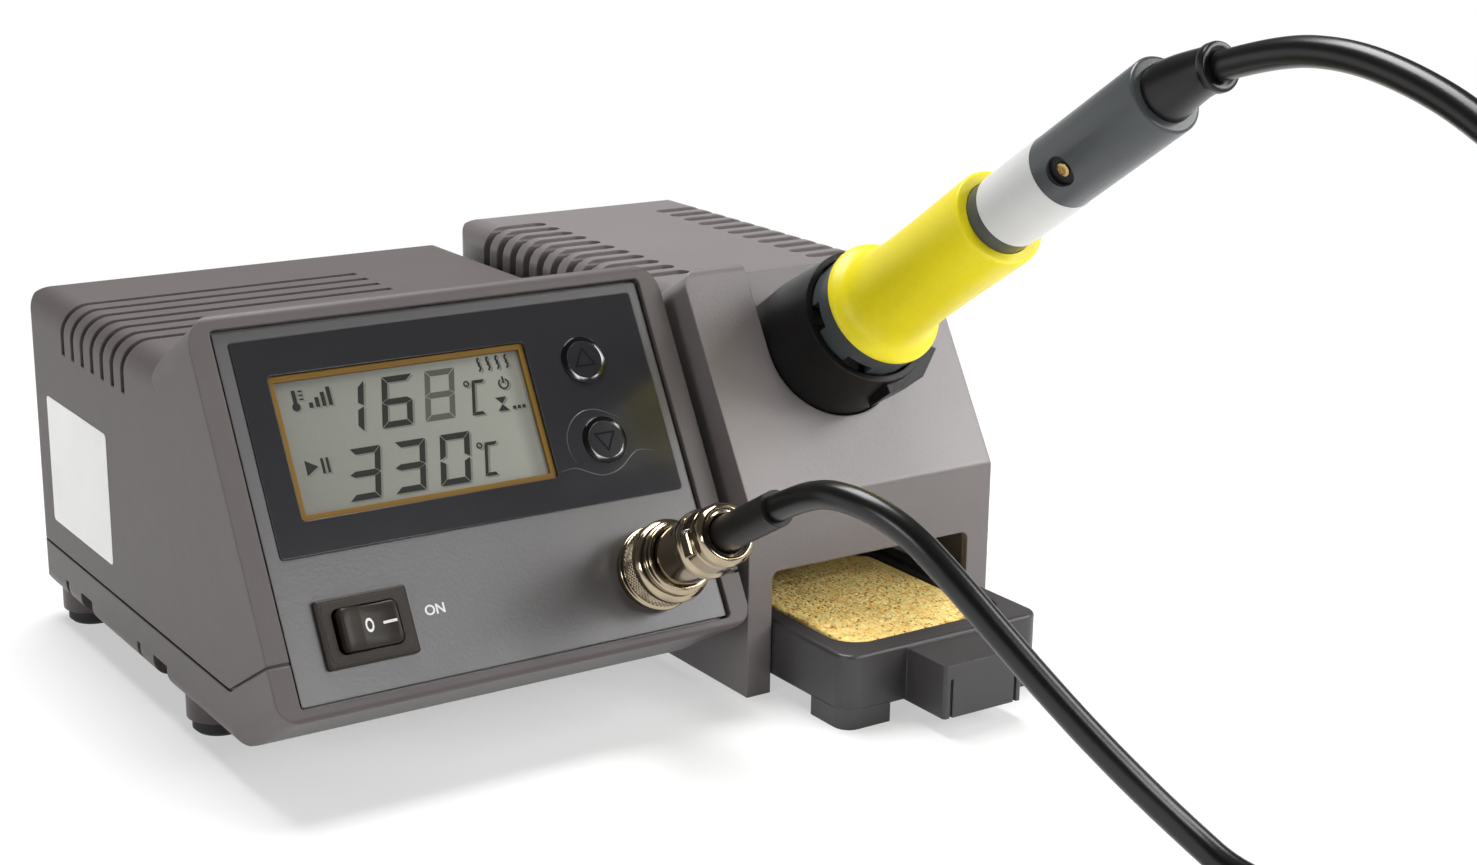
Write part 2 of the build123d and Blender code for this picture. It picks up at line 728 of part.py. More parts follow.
ear_places = [(-6.3, 0), (6.3, 0)]
with BuildPart() as plug_clamp:
    with BuildSketch(plug.offset(clamp_low)):
        Circle(thread_radius)
    extrude(amount=clamp_end - clamp_low)
    add(block(plug.offset(clamp_low + 4.4), (0, 0), (16.4, 8.4), 6))
    with BuildSketch(plug.offset(clamp_low - 1)):
        Circle(barrel_radius + fit / 2)
    extrude(amount=barrel_end - clamp_low + 1, mode=Mode.SUBTRACT)
    with BuildSketch(plug):
        Circle(sleeve_radius + fit / 2)
    extrude(amount=reach, mode=Mode.SUBTRACT)
    for side in (-1, 1):
        add(block(plug.offset(clamp_low + 4), (side * 8, 0), (9, 1.2), reach), mode=Mode.SUBTRACT)
    clamp_bolt = Plane(plug.from_local_coords((0, -6, clamp_low + 7.4)), x_dir=(1, 0, 0), z_dir=plug.y_dir)
    with BuildSketch(clamp_bolt):
        with Locations(*ear_places):
            Circle(1.2 + play)
    extrude(amount=12, mode=Mode.SUBTRACT)
    with BuildSketch(clamp_bolt.offset(10.2)):
        with Locations(*ear_places):
            Circle(1.8 + fit)
    extrude(amount=6, mode=Mode.SUBTRACT)

with BuildPart() as clamp_screws:
    with BuildSketch(clamp_bolt.offset(1.8)):
        with Locations(*ear_places):
            Circle(1.2)
    extrude(amount=8.4)
    with BuildSketch(clamp_bolt.offset(10.2)):
        with Locations(*ear_places):
            Circle(1.8)
    extrude(amount=1.1)

with BuildPart() as plug_sleeve:
    with BuildSketch(plug.offset(barrel_end + 0.2)):
        Circle(sleeve_radius)
    extrude(amount=sleeve_end - barrel_end - 0.2)

# Inside the control unit: transformer with its strap, power board, mains gland

with BuildPart() as transformer_core:
    with BuildSketch(Plane.XZ.offset(-core_y - core_stack / 2)):
        with Locations((core_x, core_z + core_high / 2)):
            Rectangle(core_long, core_high)
        for side in (-1.5, 1.5):
            with Locations((core_x + side * core_unit, core_z + core_high / 2)):
                Rectangle(core_unit, 3 * core_unit, mode=Mode.SUBTRACT)
    extrude(amount=core_stack)

with BuildPart() as transformer_winding:
    with BuildSketch(Plane.XY.offset(core_z + core_unit + 0.4)):
        with Locations((core_x, core_y)):
            RectangleRounded(4 * core_unit - 1, core_stack + 18, 6)
            Rectangle(2 * core_unit + 2 * fit, core_stack + 2 * fit, mode=Mode.SUBTRACT)
    extrude(amount=3 * core_unit - 0.8)

with BuildPart() as transformer_strap:
    strap_half = core_long / 2 + fit
    with BuildSketch(Plane.XZ.offset(-core_y - 8)):
        with Locations((core_x, core_z + (core_high + fit + strap) / 2)):
            Rectangle(2 * (strap_half + strap), core_high + fit + strap)
        with Locations((core_x, core_z + (core_high + fit) / 2)):
            Rectangle(2 * strap_half, core_high + fit, mode=Mode.SUBTRACT)
        for side in (-1, 1):
            with Locations((core_x + side * (strap_half + (strap + strap_tab) / 2), core_z + strap / 2)):
                Rectangle(strap + strap_tab, strap)
    extrude(amount=16)
    add(upright(tab_places, screw_radius + 0.3, 0, core_z + strap + 1), mode=Mode.SUBTRACT)

with BuildPart() as strap_screws:
    add(upright(tab_places, screw_radius, floor_z + 0.5, core_z + strap))
    add(upright(tab_places, 2.8, core_z + strap, core_z + strap + 1.8))

with BuildPart() as power_board:
    add(block(Plane.XY.offset(power_z), (power_x, power_y), power_size, board_thick))
    add(upright(power_places, screw_radius + 0.3, 0, reach), mode=Mode.SUBTRACT)

power_top = power_z + board_thick
with BuildPart() as power_screws:
    add(upright(power_places, screw_radius, floor_z + 0.5, power_top))
    add(upright(power_places, 2.5, power_top, power_top + 1.6))

with BuildPart() as heat_sink:
    add(block(Plane.XY.offset(power_top), (power_x - 5, power_y + 12), (12, sink_long), 2))
    add(block(Plane.XY.offset(power_top), (power_x - 10, power_y + 12), (2, sink_long), sink_high))

with BuildPart() as smoothing_capacitor:
    add(upright([(power_x + 6, power_y - 8)], capacitor_radius, power_top, power_top + capacitor_high))

with BuildPart() as fuse_holder:
    add(block(Plane.XY.offset(power_top), (power_x - 6, power_y - 18), fuse_size, 7))

with BuildPart() as mains_gland:
    gland = Plane((gland_x, back_y, gland_up), x_dir=(1, 0, 0), z_dir=(0, 1, 0))
    add(spin(
        gland,
        [(mains_radius, -12), (gland_radius, -12), (gland_radius, 0), (gland_radius + 2.5, 0)]
        + [(gland_radius + 2.5, gland_head - 0.6), (gland_radius + 1.9, gland_head), (mains_radius, gland_head)],
    ))

# Stand body: a moulded shell, open below, with a notch for the holder and two lugs to the control unit

with BuildPart() as stand_hollow:
    add(stand_form(wall))
    add(notch_form(wall), mode=Mode.SUBTRACT)

with BuildPart() as stand_body:
    add(stand_form(0))
    add(stand_hollow.part, mode=Mode.SUBTRACT)
    add(notch_form(0), mode=Mode.SUBTRACT)
    add(block(Plane.XY, (stand_mid, 0), (4 * reach, 8 * reach), -2 * reach), mode=Mode.SUBTRACT)
    with BuildSketch(holder.offset(-wall - 1)):
        Circle(spigot_radius + fit / 2)
    extrude(amount=wall + 2, mode=Mode.SUBTRACT)
    with BuildSketch(Plane.XZ.offset(-front_y - wall - 1)):
        with Locations((stand_mid, 0)):
            RectangleRounded(tray_width + 1, 2 * opening_high, 2)
    extrude(amount=reach, mode=Mode.SUBTRACT)
    slit_mid = foot_y + slit_last - slit_pitch * (slit_count - 1) / 2
    with BuildSketch(Plane.XY.offset(stand_top - channel_deep)):
        for side in (-1, 1):
            with Locations((stand_mid + side * stand_width / 2, slit_mid)):
                with GridLocations(0, slit_pitch, 1, slit_count):
                    SlotOverall(2 * channel_reach, channel_width)
    extrude(amount=reach, mode=Mode.SUBTRACT)
    with BuildSketch(Plane.XY.offset(slit_low)):
        for side in (-1, 1):
            with Locations((stand_mid + side * stand_width / 2, slit_mid)):
                with GridLocations(0, slit_pitch, 1, slit_count):
                    Rectangle(2 * slit_reach, slit_width)
    extrude(amount=reach, mode=Mode.SUBTRACT)
    lug_face = Plane.YZ.offset(stand_mid - stand_width / 2 + wall / 2)
    for along in lug_places:
        add(block(lug_face, (foot_y + along, seat_z - 20), lug_size, -side_gap - wall * 1.5 - fit))
        add(block(
            lug_face.offset(-side_gap - wall * 1.5 - fit),
            (foot_y + along, seat_z - 20),
            (2 * lug_size[0], lug_size[1]),
            -2,
        ))

# Holder ring with its lug, and the guard tube behind it

with BuildPart() as holder_ring:
    add(spin(holder, [(0, 0), (ring_base, 0), (ring_base, 14), (ring_mouth, ring_long), (0, ring_long)]))
    with BuildSketch(holder.offset(ring_long - 11)):
        with BuildLine():
            Polyline((0.5, -12), (0.5, -19), (11.6, -16.2), (18.1, -9.8), (12, -6), close=True)
        make_face()
    extrude(amount=9)
    with BuildSketch(holder.offset(-5)):
        Circle(spigot_radius)
    extrude(amount=6)
    with BuildSketch(holder.offset(-reach)):
        Circle(throat_radius)
    extrude(amount=2 * reach, mode=Mode.SUBTRACT)
    with BuildSketch(holder.offset(ring_long - 6)):
        Circle(mouth_radius)
    extrude(amount=reach, mode=Mode.SUBTRACT)

with BuildPart() as guard_tube:
    with BuildSketch(holder.offset(guard_end)):
        Circle(throat_radius - fit / 2)
        Circle(throat_radius - 0.9, mode=Mode.SUBTRACT)
    extrude(amount=8 - guard_end)

# Sponge tray and sponge

tray_mid_y = foot_y + (tray_back - tray_front) / 2
tray_long = tray_front + tray_back
sponge_y = foot_y - tray_front + 9 + sponge_size[1] / 2

with BuildPart() as sponge_tray:
    with BuildSketch(Plane.XY.offset(tray_low)):
        with Locations((stand_mid, tray_mid_y)):
            RectangleRounded(tray_width, tray_long, 4)
    extrude(amount=tray_top - tray_low)
    fillet(sponge_tray.faces().sort_by(Axis.Z)[-1].edges(), radius=1)
    with BuildSketch(Plane.XY):
        with Locations((stand_mid, tray_mid_y)):
            with GridLocations(tray_width - tray_foot, tray_long - tray_foot, 2, 2):
                RectangleRounded(tray_foot, tray_foot, 3.9)
    extrude(amount=tray_low + 1)
    with BuildSketch(Plane.XY.offset(tray_low - 0.4)):
        with Locations((stand_mid, foot_y - tray_front - grip_out / 2 + 1)):
            Rectangle(grip_block, grip_out + 2)
        fillet(vertices().group_by(Axis.Y)[0], radius=0.8)
    extrude(amount=tray_top - 1 - tray_low + 0.4)
    with BuildSketch(Plane.XY.offset(tray_low - 1)):
        for side in (-1, 1):
            with Locations((stand_mid + side * (grip_block / 2 - 2), foot_y - tray_front - grip_out)):
                Rectangle(0.9, 1.4)
    extrude(amount=tray_top - 3.4 - tray_low, mode=Mode.SUBTRACT)
    with BuildSketch(Plane.XY.offset(tray_low + 2.4)):
        with Locations((stand_mid, sponge_y)):
            RectangleRounded(sponge_size[0] + 2, sponge_size[1] + 2, 7)
    extrude(amount=reach, mode=Mode.SUBTRACT)
    with BuildSketch(Plane.XY.offset(tray_top - 1.2)):
        with Locations((stand_mid, sponge_y)):
            RectangleRounded(sponge_size[0] + 6, sponge_size[1] + 6, 8)
    extrude(amount=reach, mode=Mode.SUBTRACT)

with BuildPart() as sponge:
    with BuildSketch(Plane.XY.offset(tray_low + 2.4)):
        with Locations((stand_mid, sponge_y)):
            RectangleRounded(*sponge_size, 6)
    extrude(amount=sponge_top - tray_low - 2.4)
    fillet(sponge.faces().sort_by(Axis.Z)[-1].edges(), radius=0.8)

# Iron: toothed collar, grip sleeve, handle tube and its screw, cord boot

screw_angle = radians(screw_turn)
screw_dir = holder.x_dir * cos(screw_angle) + holder.y_dir * sin(screw_angle)
screw_plane = Plane(holder.from_local_coords((0, 0, screw_along)), x_dir=holder.z_dir, z_dir=screw_dir)
tail = holder.from_local_coords((0, 0, handle_tail))

with BuildPart() as iron_collar:
    add(spin(
        holder,
        [(11.6, collar_tip), (collar_radius - 0.4, collar_tip), (collar_radius, collar_tip + 0.4)]
        + [(collar_radius, collar_end), (6.9, collar_end), (6.9, 48), (5, 48), (5, 36.5), (11.6, 36.5)],
    ))
    with BuildSketch(holder.offset(collar_tip)):
        with PolarLocations(collar_radius - 1, tooth_count, start_angle=tooth_turn + 30):
            Rectangle(8, 6.4)
    extrude(amount=4, mode=Mode.SUBTRACT)

with BuildPart() as grip_sleeve:
    add(spin(
        holder,
        [(tube_radius + fit / 2, collar_end), (flange_radius - 0.4, collar_end), (flange_radius, collar_end + 0.4)]
        + [(flange_radius, collar_end + 2), (flange_radius - 0.5, collar_end + 2.4), (12.6, collar_end + 3.2)]
        + [(grip_radius + 0.2, collar_end + 5.4), (grip_radius - 0.1, collar_end + 9), (grip_radius, 66)]
        + [(grip_radius + 0.2, sleeve_rim - 0.5), (grip_radius - 0.3, sleeve_rim)]
        + [(tube_radius + fit / 2, sleeve_rim)],
    ))

with BuildPart() as handle_tube:
    add(spin(
        holder,
        [(7, collar_end + fit), (tube_radius, collar_end + fit), (tube_radius, handle_tail)]
        + [(boot_radius + fit / 2, handle_tail), (boot_radius + fit / 2, handle_tail - 3), (7, handle_tail - 3)],
    ))
    with BuildSketch(screw_plane):
        Circle(4.2)
    extrude(amount=tube_radius - 1.2)
    with BuildSketch(screw_plane.offset(tube_radius - 1.8)):
        Circle(2.6)
    extrude(amount=reach, mode=Mode.SUBTRACT)
    with BuildSketch(screw_plane):
        Circle(screw_radius + play)
    extrude(amount=reach, mode=Mode.SUBTRACT)

with BuildPart() as handle_screw:
    with BuildSketch(screw_plane.offset(tube_radius - 1.8)):
        Circle(2.3)
    extrude(amount=1.2)
    with BuildSketch(screw_plane.offset(0.5)):
        Circle(screw_radius)
    extrude(amount=tube_radius - 2)

boot_end = tail + Vector(0, -14.7, 7.1)
with BuildPart() as cord_boot:
    with BuildLine() as boot_path:
        TangentArc(tail, boot_end, tangent=holder.z_dir)
    with BuildSketch(holder.offset(handle_tail)):
        Circle(boot_radius)
    sweep()
    with BuildSketch(holder.offset(handle_tail - 6)):
        Circle(boot_radius)
    extrude(amount=6)
    boot_way = boot_path.line % 1
    with BuildSketch(Plane(boot_end, x_dir=(1, 0, 0), z_dir=boot_way)):
        Circle(boot_radius + 0.6)
    extrude(amount=-2)

# Iron, inside the holder: barrel nut, barrel, heater core, tip

with BuildPart() as barrel_nut:
    add(spin(holder, [(4.95, 26), (8.4, 26), (8.8, 26.4), (8.8, 36.4), (4.95, 36.4)]))

with BuildPart() as heater_barrel:
    add(spin(holder, [(3.9, -30), (4.7, -30), (4.85, -29), (4.85, 46), (3.9, 46)]))

with BuildPart() as heater_core:
    add(spin(holder, [(0, -19), (2.6, -19), (2.6, 44), (0, 44)]))

with BuildPart() as tip:
    add(spin(
        holder,
        [(2.7, -5), (3.8, -5), (3.8, -31), (3.2, -32), (3.2, -43), (0.6, tip_end), (0, tip_end)]
        + [(0, -20), (2.7, -20)],
    ))


# Cord: the two runs seen in front of the station, and the rest as a tied coil beside them

coil_at = (stand_mid + coil_right, foot_y - coil_ahead)


def coil_place(turned):
    """Middle line of the coil after turning clockwise through an angle in degrees."""
    radius = coil_radius - coil_pitch * min(turned, coil_turned - turned) / 360
    share = min(max((turned - coil_turned / 2) / 180 + 0.5, 0), 1)
    high = coil_low + coil_step * share * share * (3 - 2 * share)
    angle = radians(coil_start - turned)
    return Vector(coil_at[0] + radius * cos(angle), coil_at[1] + radius * sin(angle), high)


def coil_way(turned):
    """Direction of the coil's middle line there."""
    return (coil_place(turned + 0.05) - coil_place(turned - 0.05)).normalized()


def bend_radii(route):
    """Radius at each inner point: 0.45 of the shorter run over the tangent of half the turn."""
    radii = []
    for a, b, c in zip(route, route[1:], route[2:]):
        half_turn = radians((b - a).get_angle(c - b)) / 2
        radii.append(0.45 * min((b - a).length, (c - b).length) / tan(half_turn))
    return radii


lead = 2 * cord_radius
coil_in = coil_place(0) - coil_way(0) * lead
coil_out = coil_place(coil_turned) + coil_way(coil_turned) * lead

with BuildPart() as cord_coil:
    with BuildLine() as coil_path:
        Line(coil_in, coil_place(0))
        steps = round(coil_turned / 90)
        for i in range(steps):
            p0, p1 = coil_place(coil_turned * i / steps), coil_place(coil_turned * (i + 1) / steps)
            t0, t1 = coil_way(coil_turned * i / steps), coil_way(coil_turned * (i + 1) / steps)
            chord = p1 - p0
            pull = chord.dot(t0 + t1)
            spread = 2 * (1 - t0.dot(t1))
            arm = ((pull * pull + spread * chord.dot(chord)) ** 0.5 - pull) / spread
            joint = (p0 + t0 * arm + p1 - t1 * arm) * 0.5
            TangentArc(p0, joint, tangent=t0)
            TangentArc(joint, p1, tangent=p1 - t1 * arm - p0 - t0 * arm)
        Line(coil_place(coil_turned), coil_out)
    with BuildSketch(Plane(coil_in, z_dir=coil_way(0))):
        Circle(cord_radius)
    sweep()

sleeve_out = plug.from_local_coords((0, 0, sleeve_end))
front_route = [
    *(sleeve_out + plug.z_dir * along for along in (0, 13)),
    *(sleeve_out + Vector(*step) for step in ((1.75, -23.1, 8.2), (6.2, -34.1, 4.6), (10.8, -43.6, -3.8))),
    *(sleeve_out + Vector(*step) for step in ((16.1, -52.1, -13.6), (21.5, -59.9, -23), (27.4, -67.7, -32.4))),
    *(coil_in + Vector(*step) for step in ((-63.3, 57.5, 17.65), (-55.9, 50.7, 8.65), (-51.4, 43.7, 2.65))),
    *(coil_in + Vector(*step) for step in ((-45.2, 35.8, -0.35), (-33.2, 26.1, -0.55))),
    *(coil_in - coil_way(0) * along for along in (18, 0)),
]
tail_route = [
    *(boot_end + boot_way * along for along in (0, 15)),
    *(boot_end + Vector(*step) for step in ((0, -30, 5.6), (0, -45, 3), (-0.15, -60, -2.1), (-1.95, -80, -12.3))),
    *(boot_end + Vector(*step) for step in ((-4.95, -100, -28.3), (-8.95, -117, -49.3))),
    *(coil_out + Vector(*step) for step in ((-21.65, 13.9, 74.95), (-25.65, 6.9, 52.95), (-28.05, 2.9, 33.95))),
    *(coil_out + Vector(*step) for step in ((-28.45, 0.8, 16.95), (-22.45, 0.1, 6.25))),
    *(coil_out + coil_way(coil_turned) * along for along in (12, 0)),
]

with BuildPart() as cord_front:
    with BuildLine() as front_path:
        FilletPolyline(*front_route, radius=bend_radii(front_route))
    with BuildSketch(Plane(front_route[0], z_dir=front_path.line % 0)):
        Circle(cord_radius)
    sweep()

with BuildPart() as cord_tail:
    with BuildLine() as tail_path:
        FilletPolyline(*tail_route, radius=bend_radii(tail_route))
    with BuildSketch(Plane(tail_route[0], z_dir=tail_path.line % 0)):
        Circle(cord_radius)
    sweep()

with BuildPart() as coil_ties:
    tie_out = coil_radius - coil_pitch * 0.84
    tie_size = (2 * coil_pitch + 0.4 + 2 * cord_radius, coil_step + 2 * cord_radius + 0.4)
    for turn in (-30, 150):
        way = Vector(cos(radians(turn)), sin(radians(turn)), 0)
        tie_at = Vector(*coil_at, coil_low + coil_step / 2) + way * tie_out
        with BuildSketch(Plane(tie_at, x_dir=way, z_dir=way.cross(Vector(0, 0, 1)))):
            RectangleRounded(tie_size[0] + 2 * tie_thick, tie_size[1] + 2 * tie_thick, 3)
            RectangleRounded(*tie_size, 2.2, mode=Mode.SUBTRACT)
        extrude(amount=tie_width / 2, both=True)

for name, piece, path in (
    ("front", cord_front, front_path),
    ("coil", cord_coil, coil_path),
    ("tail", cord_tail, tail_path),
):
    long = sum(edge.length for edge in path.edges())
    print(f"{name}: length {long:.1f}, volume {piece.part.volume:.0f} for {pi * cord_radius**2 * long:.0f}")
for name, route in (("front", front_route), ("tail", tail_route)):
    print(f"{name} bend radii: " + " ".join(f"{radius:.0f}" for radius in bend_radii(route)))
samples = [coil_place(coil_turned * i / 400) for i in range(401)]
apart = min((a - b).length for i, a in enumerate(samples) for b in samples[i + 60 :])
print(f"coil's least gap to itself: {apart - 2 * cord_radius:.2f}")
print(f"frame: foot_y {foot_y:.4f}, unit_mid {unit_mid:.3f}, stand_mid {stand_mid:.3f}")

pieces = {
    "upper_housing": upper_housing,
    "lower_housing": lower_housing,
    "rubber_feet": rubber_feet,
    "housing_screws": housing_screws,
    "front_panel": front_panel,
    "display_overlay": display_overlay,
    "lcd_frame": lcd_frame,
    "lcd_glass": lcd_glass,
    "light_guide": light_guide,
    "display_board": display_board,
    "display_screws": display_screws,
    "tact_switches": tact_switches,
    "button_up": button_up,
    "button_down": button_down,
    "switch_frame": switch_frame,
    "rocker": rocker,
    "switch_terminals": switch_terminals,
    "panel_socket": panel_socket,
    "socket_nut": socket_nut,
    "socket_insert": socket_insert,
    "plug_shell": plug_shell,
    "plug_insert": plug_insert,
    "coupling_ring": coupling_ring,
    "ring_washer": ring_washer,
    "plug_clamp": plug_clamp,
    "clamp_screws": clamp_screws,
    "plug_sleeve": plug_sleeve,
    "transformer_core": transformer_core,
    "transformer_winding": transformer_winding,
    "transformer_strap": transformer_strap,
    "strap_screws": strap_screws,
    "power_board": power_board,
    "power_screws": power_screws,
    "heat_sink": heat_sink,
    "smoothing_capacitor": smoothing_capacitor,
    "fuse_holder": fuse_holder,
    "mains_gland": mains_gland,
    "stand_body": stand_body,
    "holder_ring": holder_ring,
    "guard_tube": guard_tube,
    "sponge_tray": sponge_tray,
    "sponge": sponge,
    "iron_collar": iron_collar,
    "grip_sleeve": grip_sleeve,
    "handle_tube": handle_tube,
    "handle_screw": handle_screw,
    "cord_boot": cord_boot,
    "barrel_nut": barrel_nut,
    "heater_barrel": heater_barrel,
    "heater_core": heater_core,
    "tip": tip,
    "cord_front": cord_front,
    "cord_coil": cord_coil,
    "coil_ties": coil_ties,
    "cord_tail": cord_tail,
}
for name, piece in pieces.items():
    piece.part.label = name
    export_step(piece.part, f"parts/{name}.step")
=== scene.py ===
from math import cos, pi, radians, sin

import bpy
from mathutils import Matrix, Vector, noise


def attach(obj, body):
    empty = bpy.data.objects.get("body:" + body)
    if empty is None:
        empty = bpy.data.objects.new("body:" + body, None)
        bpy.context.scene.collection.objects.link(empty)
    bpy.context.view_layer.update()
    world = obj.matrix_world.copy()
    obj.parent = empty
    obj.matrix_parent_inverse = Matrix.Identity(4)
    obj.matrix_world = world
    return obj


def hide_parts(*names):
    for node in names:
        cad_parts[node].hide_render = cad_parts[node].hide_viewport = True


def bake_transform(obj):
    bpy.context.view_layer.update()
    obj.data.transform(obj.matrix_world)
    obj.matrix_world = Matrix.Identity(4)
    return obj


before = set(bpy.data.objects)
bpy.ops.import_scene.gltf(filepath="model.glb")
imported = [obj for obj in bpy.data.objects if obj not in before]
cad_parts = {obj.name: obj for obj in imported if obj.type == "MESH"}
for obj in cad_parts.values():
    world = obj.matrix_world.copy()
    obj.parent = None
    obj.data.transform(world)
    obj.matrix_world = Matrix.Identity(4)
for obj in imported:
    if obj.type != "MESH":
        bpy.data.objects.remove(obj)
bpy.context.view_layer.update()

# Studio: a pale table top under the station, five soft boxes, and a room that is bright low down at the back.
# Round the station the table keeps its shadow; further off, the lens, metal and glass see it white.

TABLE_HALF = 30.0
TABLE_PALE = (0.93, 0.93, 0.93, 1)
SHADOW_REACH = (0.12, 0.5)
SHADOW_SOFT = 0.5
ROOM_OVERHEAD = 0.1
ROOM_FRONT = 0.22
DUSK_BETWEEN = (0.0, 0.36)
FRONT_BETWEEN = (-0.6, 0.1)
STATION_HEART = (0, 0, 0.06)


def feed(node, **sources):
    """Set a node's inputs by name, or by n and a number: a socket is linked, anything else is a value."""
    for name, source in sources.items():
        socket = node.inputs[int(name[1:])] if name[1:].isdigit() else node.inputs[name.replace("_", " ")]
        if isinstance(source, bpy.types.NodeSocket):
            node.id_data.links.new(source, socket)
        else:
            socket.default_value = source
    return node


def made(tree, kind, settings=None, **sources):
    """A new node of a tree, with its plain settings made and its inputs fed."""
    node = tree.nodes.new(kind)
    for name, value in (settings or {}).items():
        setattr(node, name, value)
    return feed(node, **sources)


def sums(tree, operation, first, second, third=0.0, clamp=False):
    """One step of arithmetic in a tree."""
    settings = dict(operation=operation, use_clamp=clamp)
    return made(tree, "ShaderNodeMath", settings, n0=first, n1=second, n2=third).outputs[0]


def ramp(tree, value, low, high, start=0.0, end=1.0, kind="SMOOTHSTEP"):
    """A value that goes from a start to an end while another goes from low to high."""
    limits = dict(From_Min=low, From_Max=high, To_Min=start, To_Max=end)
    return made(tree, "ShaderNodeMapRange", dict(interpolation_type=kind), Value=value, **limits).outputs[0]


def seen_white(tree):
    """One for the rays of the lens, of metal and of glass, and nought for the rest."""
    path = made(tree, "ShaderNodeLightPath").outputs
    shiny = sums(tree, "MAXIMUM", path["Is Glossy Ray"], path["Is Transmission Ray"])
    return sums(tree, "MAXIMUM", path["Is Camera Ray"], shiny)


def placed(name, data):
    """A new object in the scene."""
    thing = bpy.data.objects.new(name, data)
    bpy.context.collection.objects.link(thing)
    return thing


def new_finish(name):
    """A new material with its tree, its shader and the place on the object."""
    finish = bpy.data.materials.new(name)
    finish.use_nodes = True
    tree = finish.node_tree
    spot = made(tree, "ShaderNodeTexCoord").outputs["Object"]
    return finish, tree, tree.nodes["Principled BSDF"], spot


table_mesh = bpy.data.meshes.new("table_top")
corners = [(x * TABLE_HALF, y * TABLE_HALF, 0) for x, y in ((-1, -1), (1, -1), (1, 1), (-1, 1))]
table_mesh.from_pydata(corners, [], [(0, 1, 2, 3)])
table_finish, tree, laminate, spot = new_finish("table_laminate")
feed(laminate, Base_Color=TABLE_PALE, Roughness=0.9, Specular_IOR_Level=0.1)
glow = made(tree, "ShaderNodeEmission", Color=(1, 1, 1, 1), Strength=1.0)
away = made(tree, "ShaderNodeVectorMath", dict(operation="LENGTH"), n0=spot).outputs["Value"]
white = sums(tree, "MULTIPLY", ramp(tree, away, *SHADOW_REACH, start=SHADOW_SOFT), seen_white(tree))
pale = made(tree, "ShaderNodeMixShader", n0=white, n1=laminate.outputs[0], n2=glow.outputs[0])
feed(tree.nodes["Material Output"], Surface=pale.outputs[0])
table_mesh.materials.append(table_finish)
table_top = placed("table_top", table_mesh)

room = bpy.data.worlds.new("bright_room")
bpy.context.scene.world = room
room.use_nodes = True
tree = room.node_tree
tree.nodes.clear()
look = made(tree, "ShaderNodeTexCoord").outputs["Generated"]
look_parts = made(tree, "ShaderNodeSeparateXYZ", Vector=look).outputs
dusk = ramp(tree, look_parts["Z"], *DUSK_BETWEEN, start=1.0, end=ROOM_OVERHEAD)
dim_front = ramp(tree, look_parts["Y"], *FRONT_BETWEEN, start=ROOM_FRONT)
wall_glow = sums(tree, "MULTIPLY", dusk, dim_front)
room_wall = made(tree, "ShaderNodeBackground", Color=(1, 1, 1, 1), Strength=wall_glow)
made(tree, "ShaderNodeOutputWorld", Surface=room_wall.outputs[0])


def soft_box(name, place, aim, side, watts):
    """A square studio lamp at a place, turned to a point."""
    lamp = bpy.data.lights.new(name, "AREA")
    lamp.shape = "SQUARE"
    lamp.size = side
    lamp.energy = watts
    stand = placed(name, lamp)
    stand.location = place
    stand.rotation_euler = (Vector(aim) - Vector(place)).to_track_quat("-Z", "Y").to_euler()


soft_box("key_box", (0.54, -1.56, 0.84), STATION_HEART, 0.5, 8.5)
soft_box("side_box", (1.18, -0.63, 0.87), STATION_HEART, 0.45, 6)
soft_box("slope_box", (1.04, -1.04, 0.66), STATION_HEART, 0.42, 6.8)
soft_box("top_box", (0.12, 0.5, 1.6), (0, 0, 0.05), 1.0, 39)
soft_box("left_box", (-1.5, -0.5, 0.5), (0, 0, 0.1), 0.36, 4.3)
bpy.context.scene.view_settings.view_transform = "Standard"

# Camera: at the left of the station and a little above it, as the photographer stood.
# The lens is a short portrait one, held a little out of level.

CAMERA_AT = (-0.26646, -0.44776, 0.20977)

lens_view = bpy.data.cameras.new("photo_camera")
lens_view.lens = 56.84
lens_view.sensor_width = 36
lens_view.clip_end = 50
camera = placed("photo_camera", lens_view)
turn, dip, roll = radians(34.24), radians(15.81), radians(-0.87)
ahead = Vector((sin(turn) * cos(dip), cos(turn) * cos(dip), -sin(dip)))
level = Vector((cos(turn), -sin(turn), 0))
down = ahead.cross(level)
across = level * cos(roll) + down * sin(roll)
upward = level * sin(roll) - down * cos(roll)
camera.matrix_world = Matrix([*zip(across, upward, -ahead, CAMERA_AT), (0, 0, 0, 1)])
bpy.context.scene.camera = camera

# Iron cord: a flexible lead in a smooth black jacket, from the plug's sleeve to the boot of the iron.
# Two runs stand in front of the station; the spare length lies on the table as a neat coil,
# held by two plain black ties.

MM = 0.001
CORD_RADIUS = 0.003
CORD_SIDES = 24
JACKET_BLACK = (0.0055, 0.005, 0.0048, 1)
TIE_BLACK = (0.02, 0.02, 0.021, 1)
COIL_MIDDLE = (0.07385, -0.23640)
COIL_RADIUS = 0.037
COIL_PITCH = 0.0066
COIL_TURNED = 1214.5
COIL_START = 44.5
COIL_LOW = 0.00395
COIL_STEP = 0.0066
COIL_POINTS = 84
FRONT_ROUTE = (
    (-1.35, -84.12, 70.1), (0.4, -95.97, 71.8), (4.85, -106.97, 68.2), (9.45, -116.47, 59.8), (14.75, -124.97, 50.0),
    (20.15, -132.77, 40.6), (26.05, -140.57, 31.2), (32.86, -148.57, 21.6), (40.26, -155.37, 12.6),
    (44.76, -162.37, 6.6), (50.96, -170.27, 3.6), (62.96, -179.97, 3.4), (83.91, -192.88, 3.95),
)
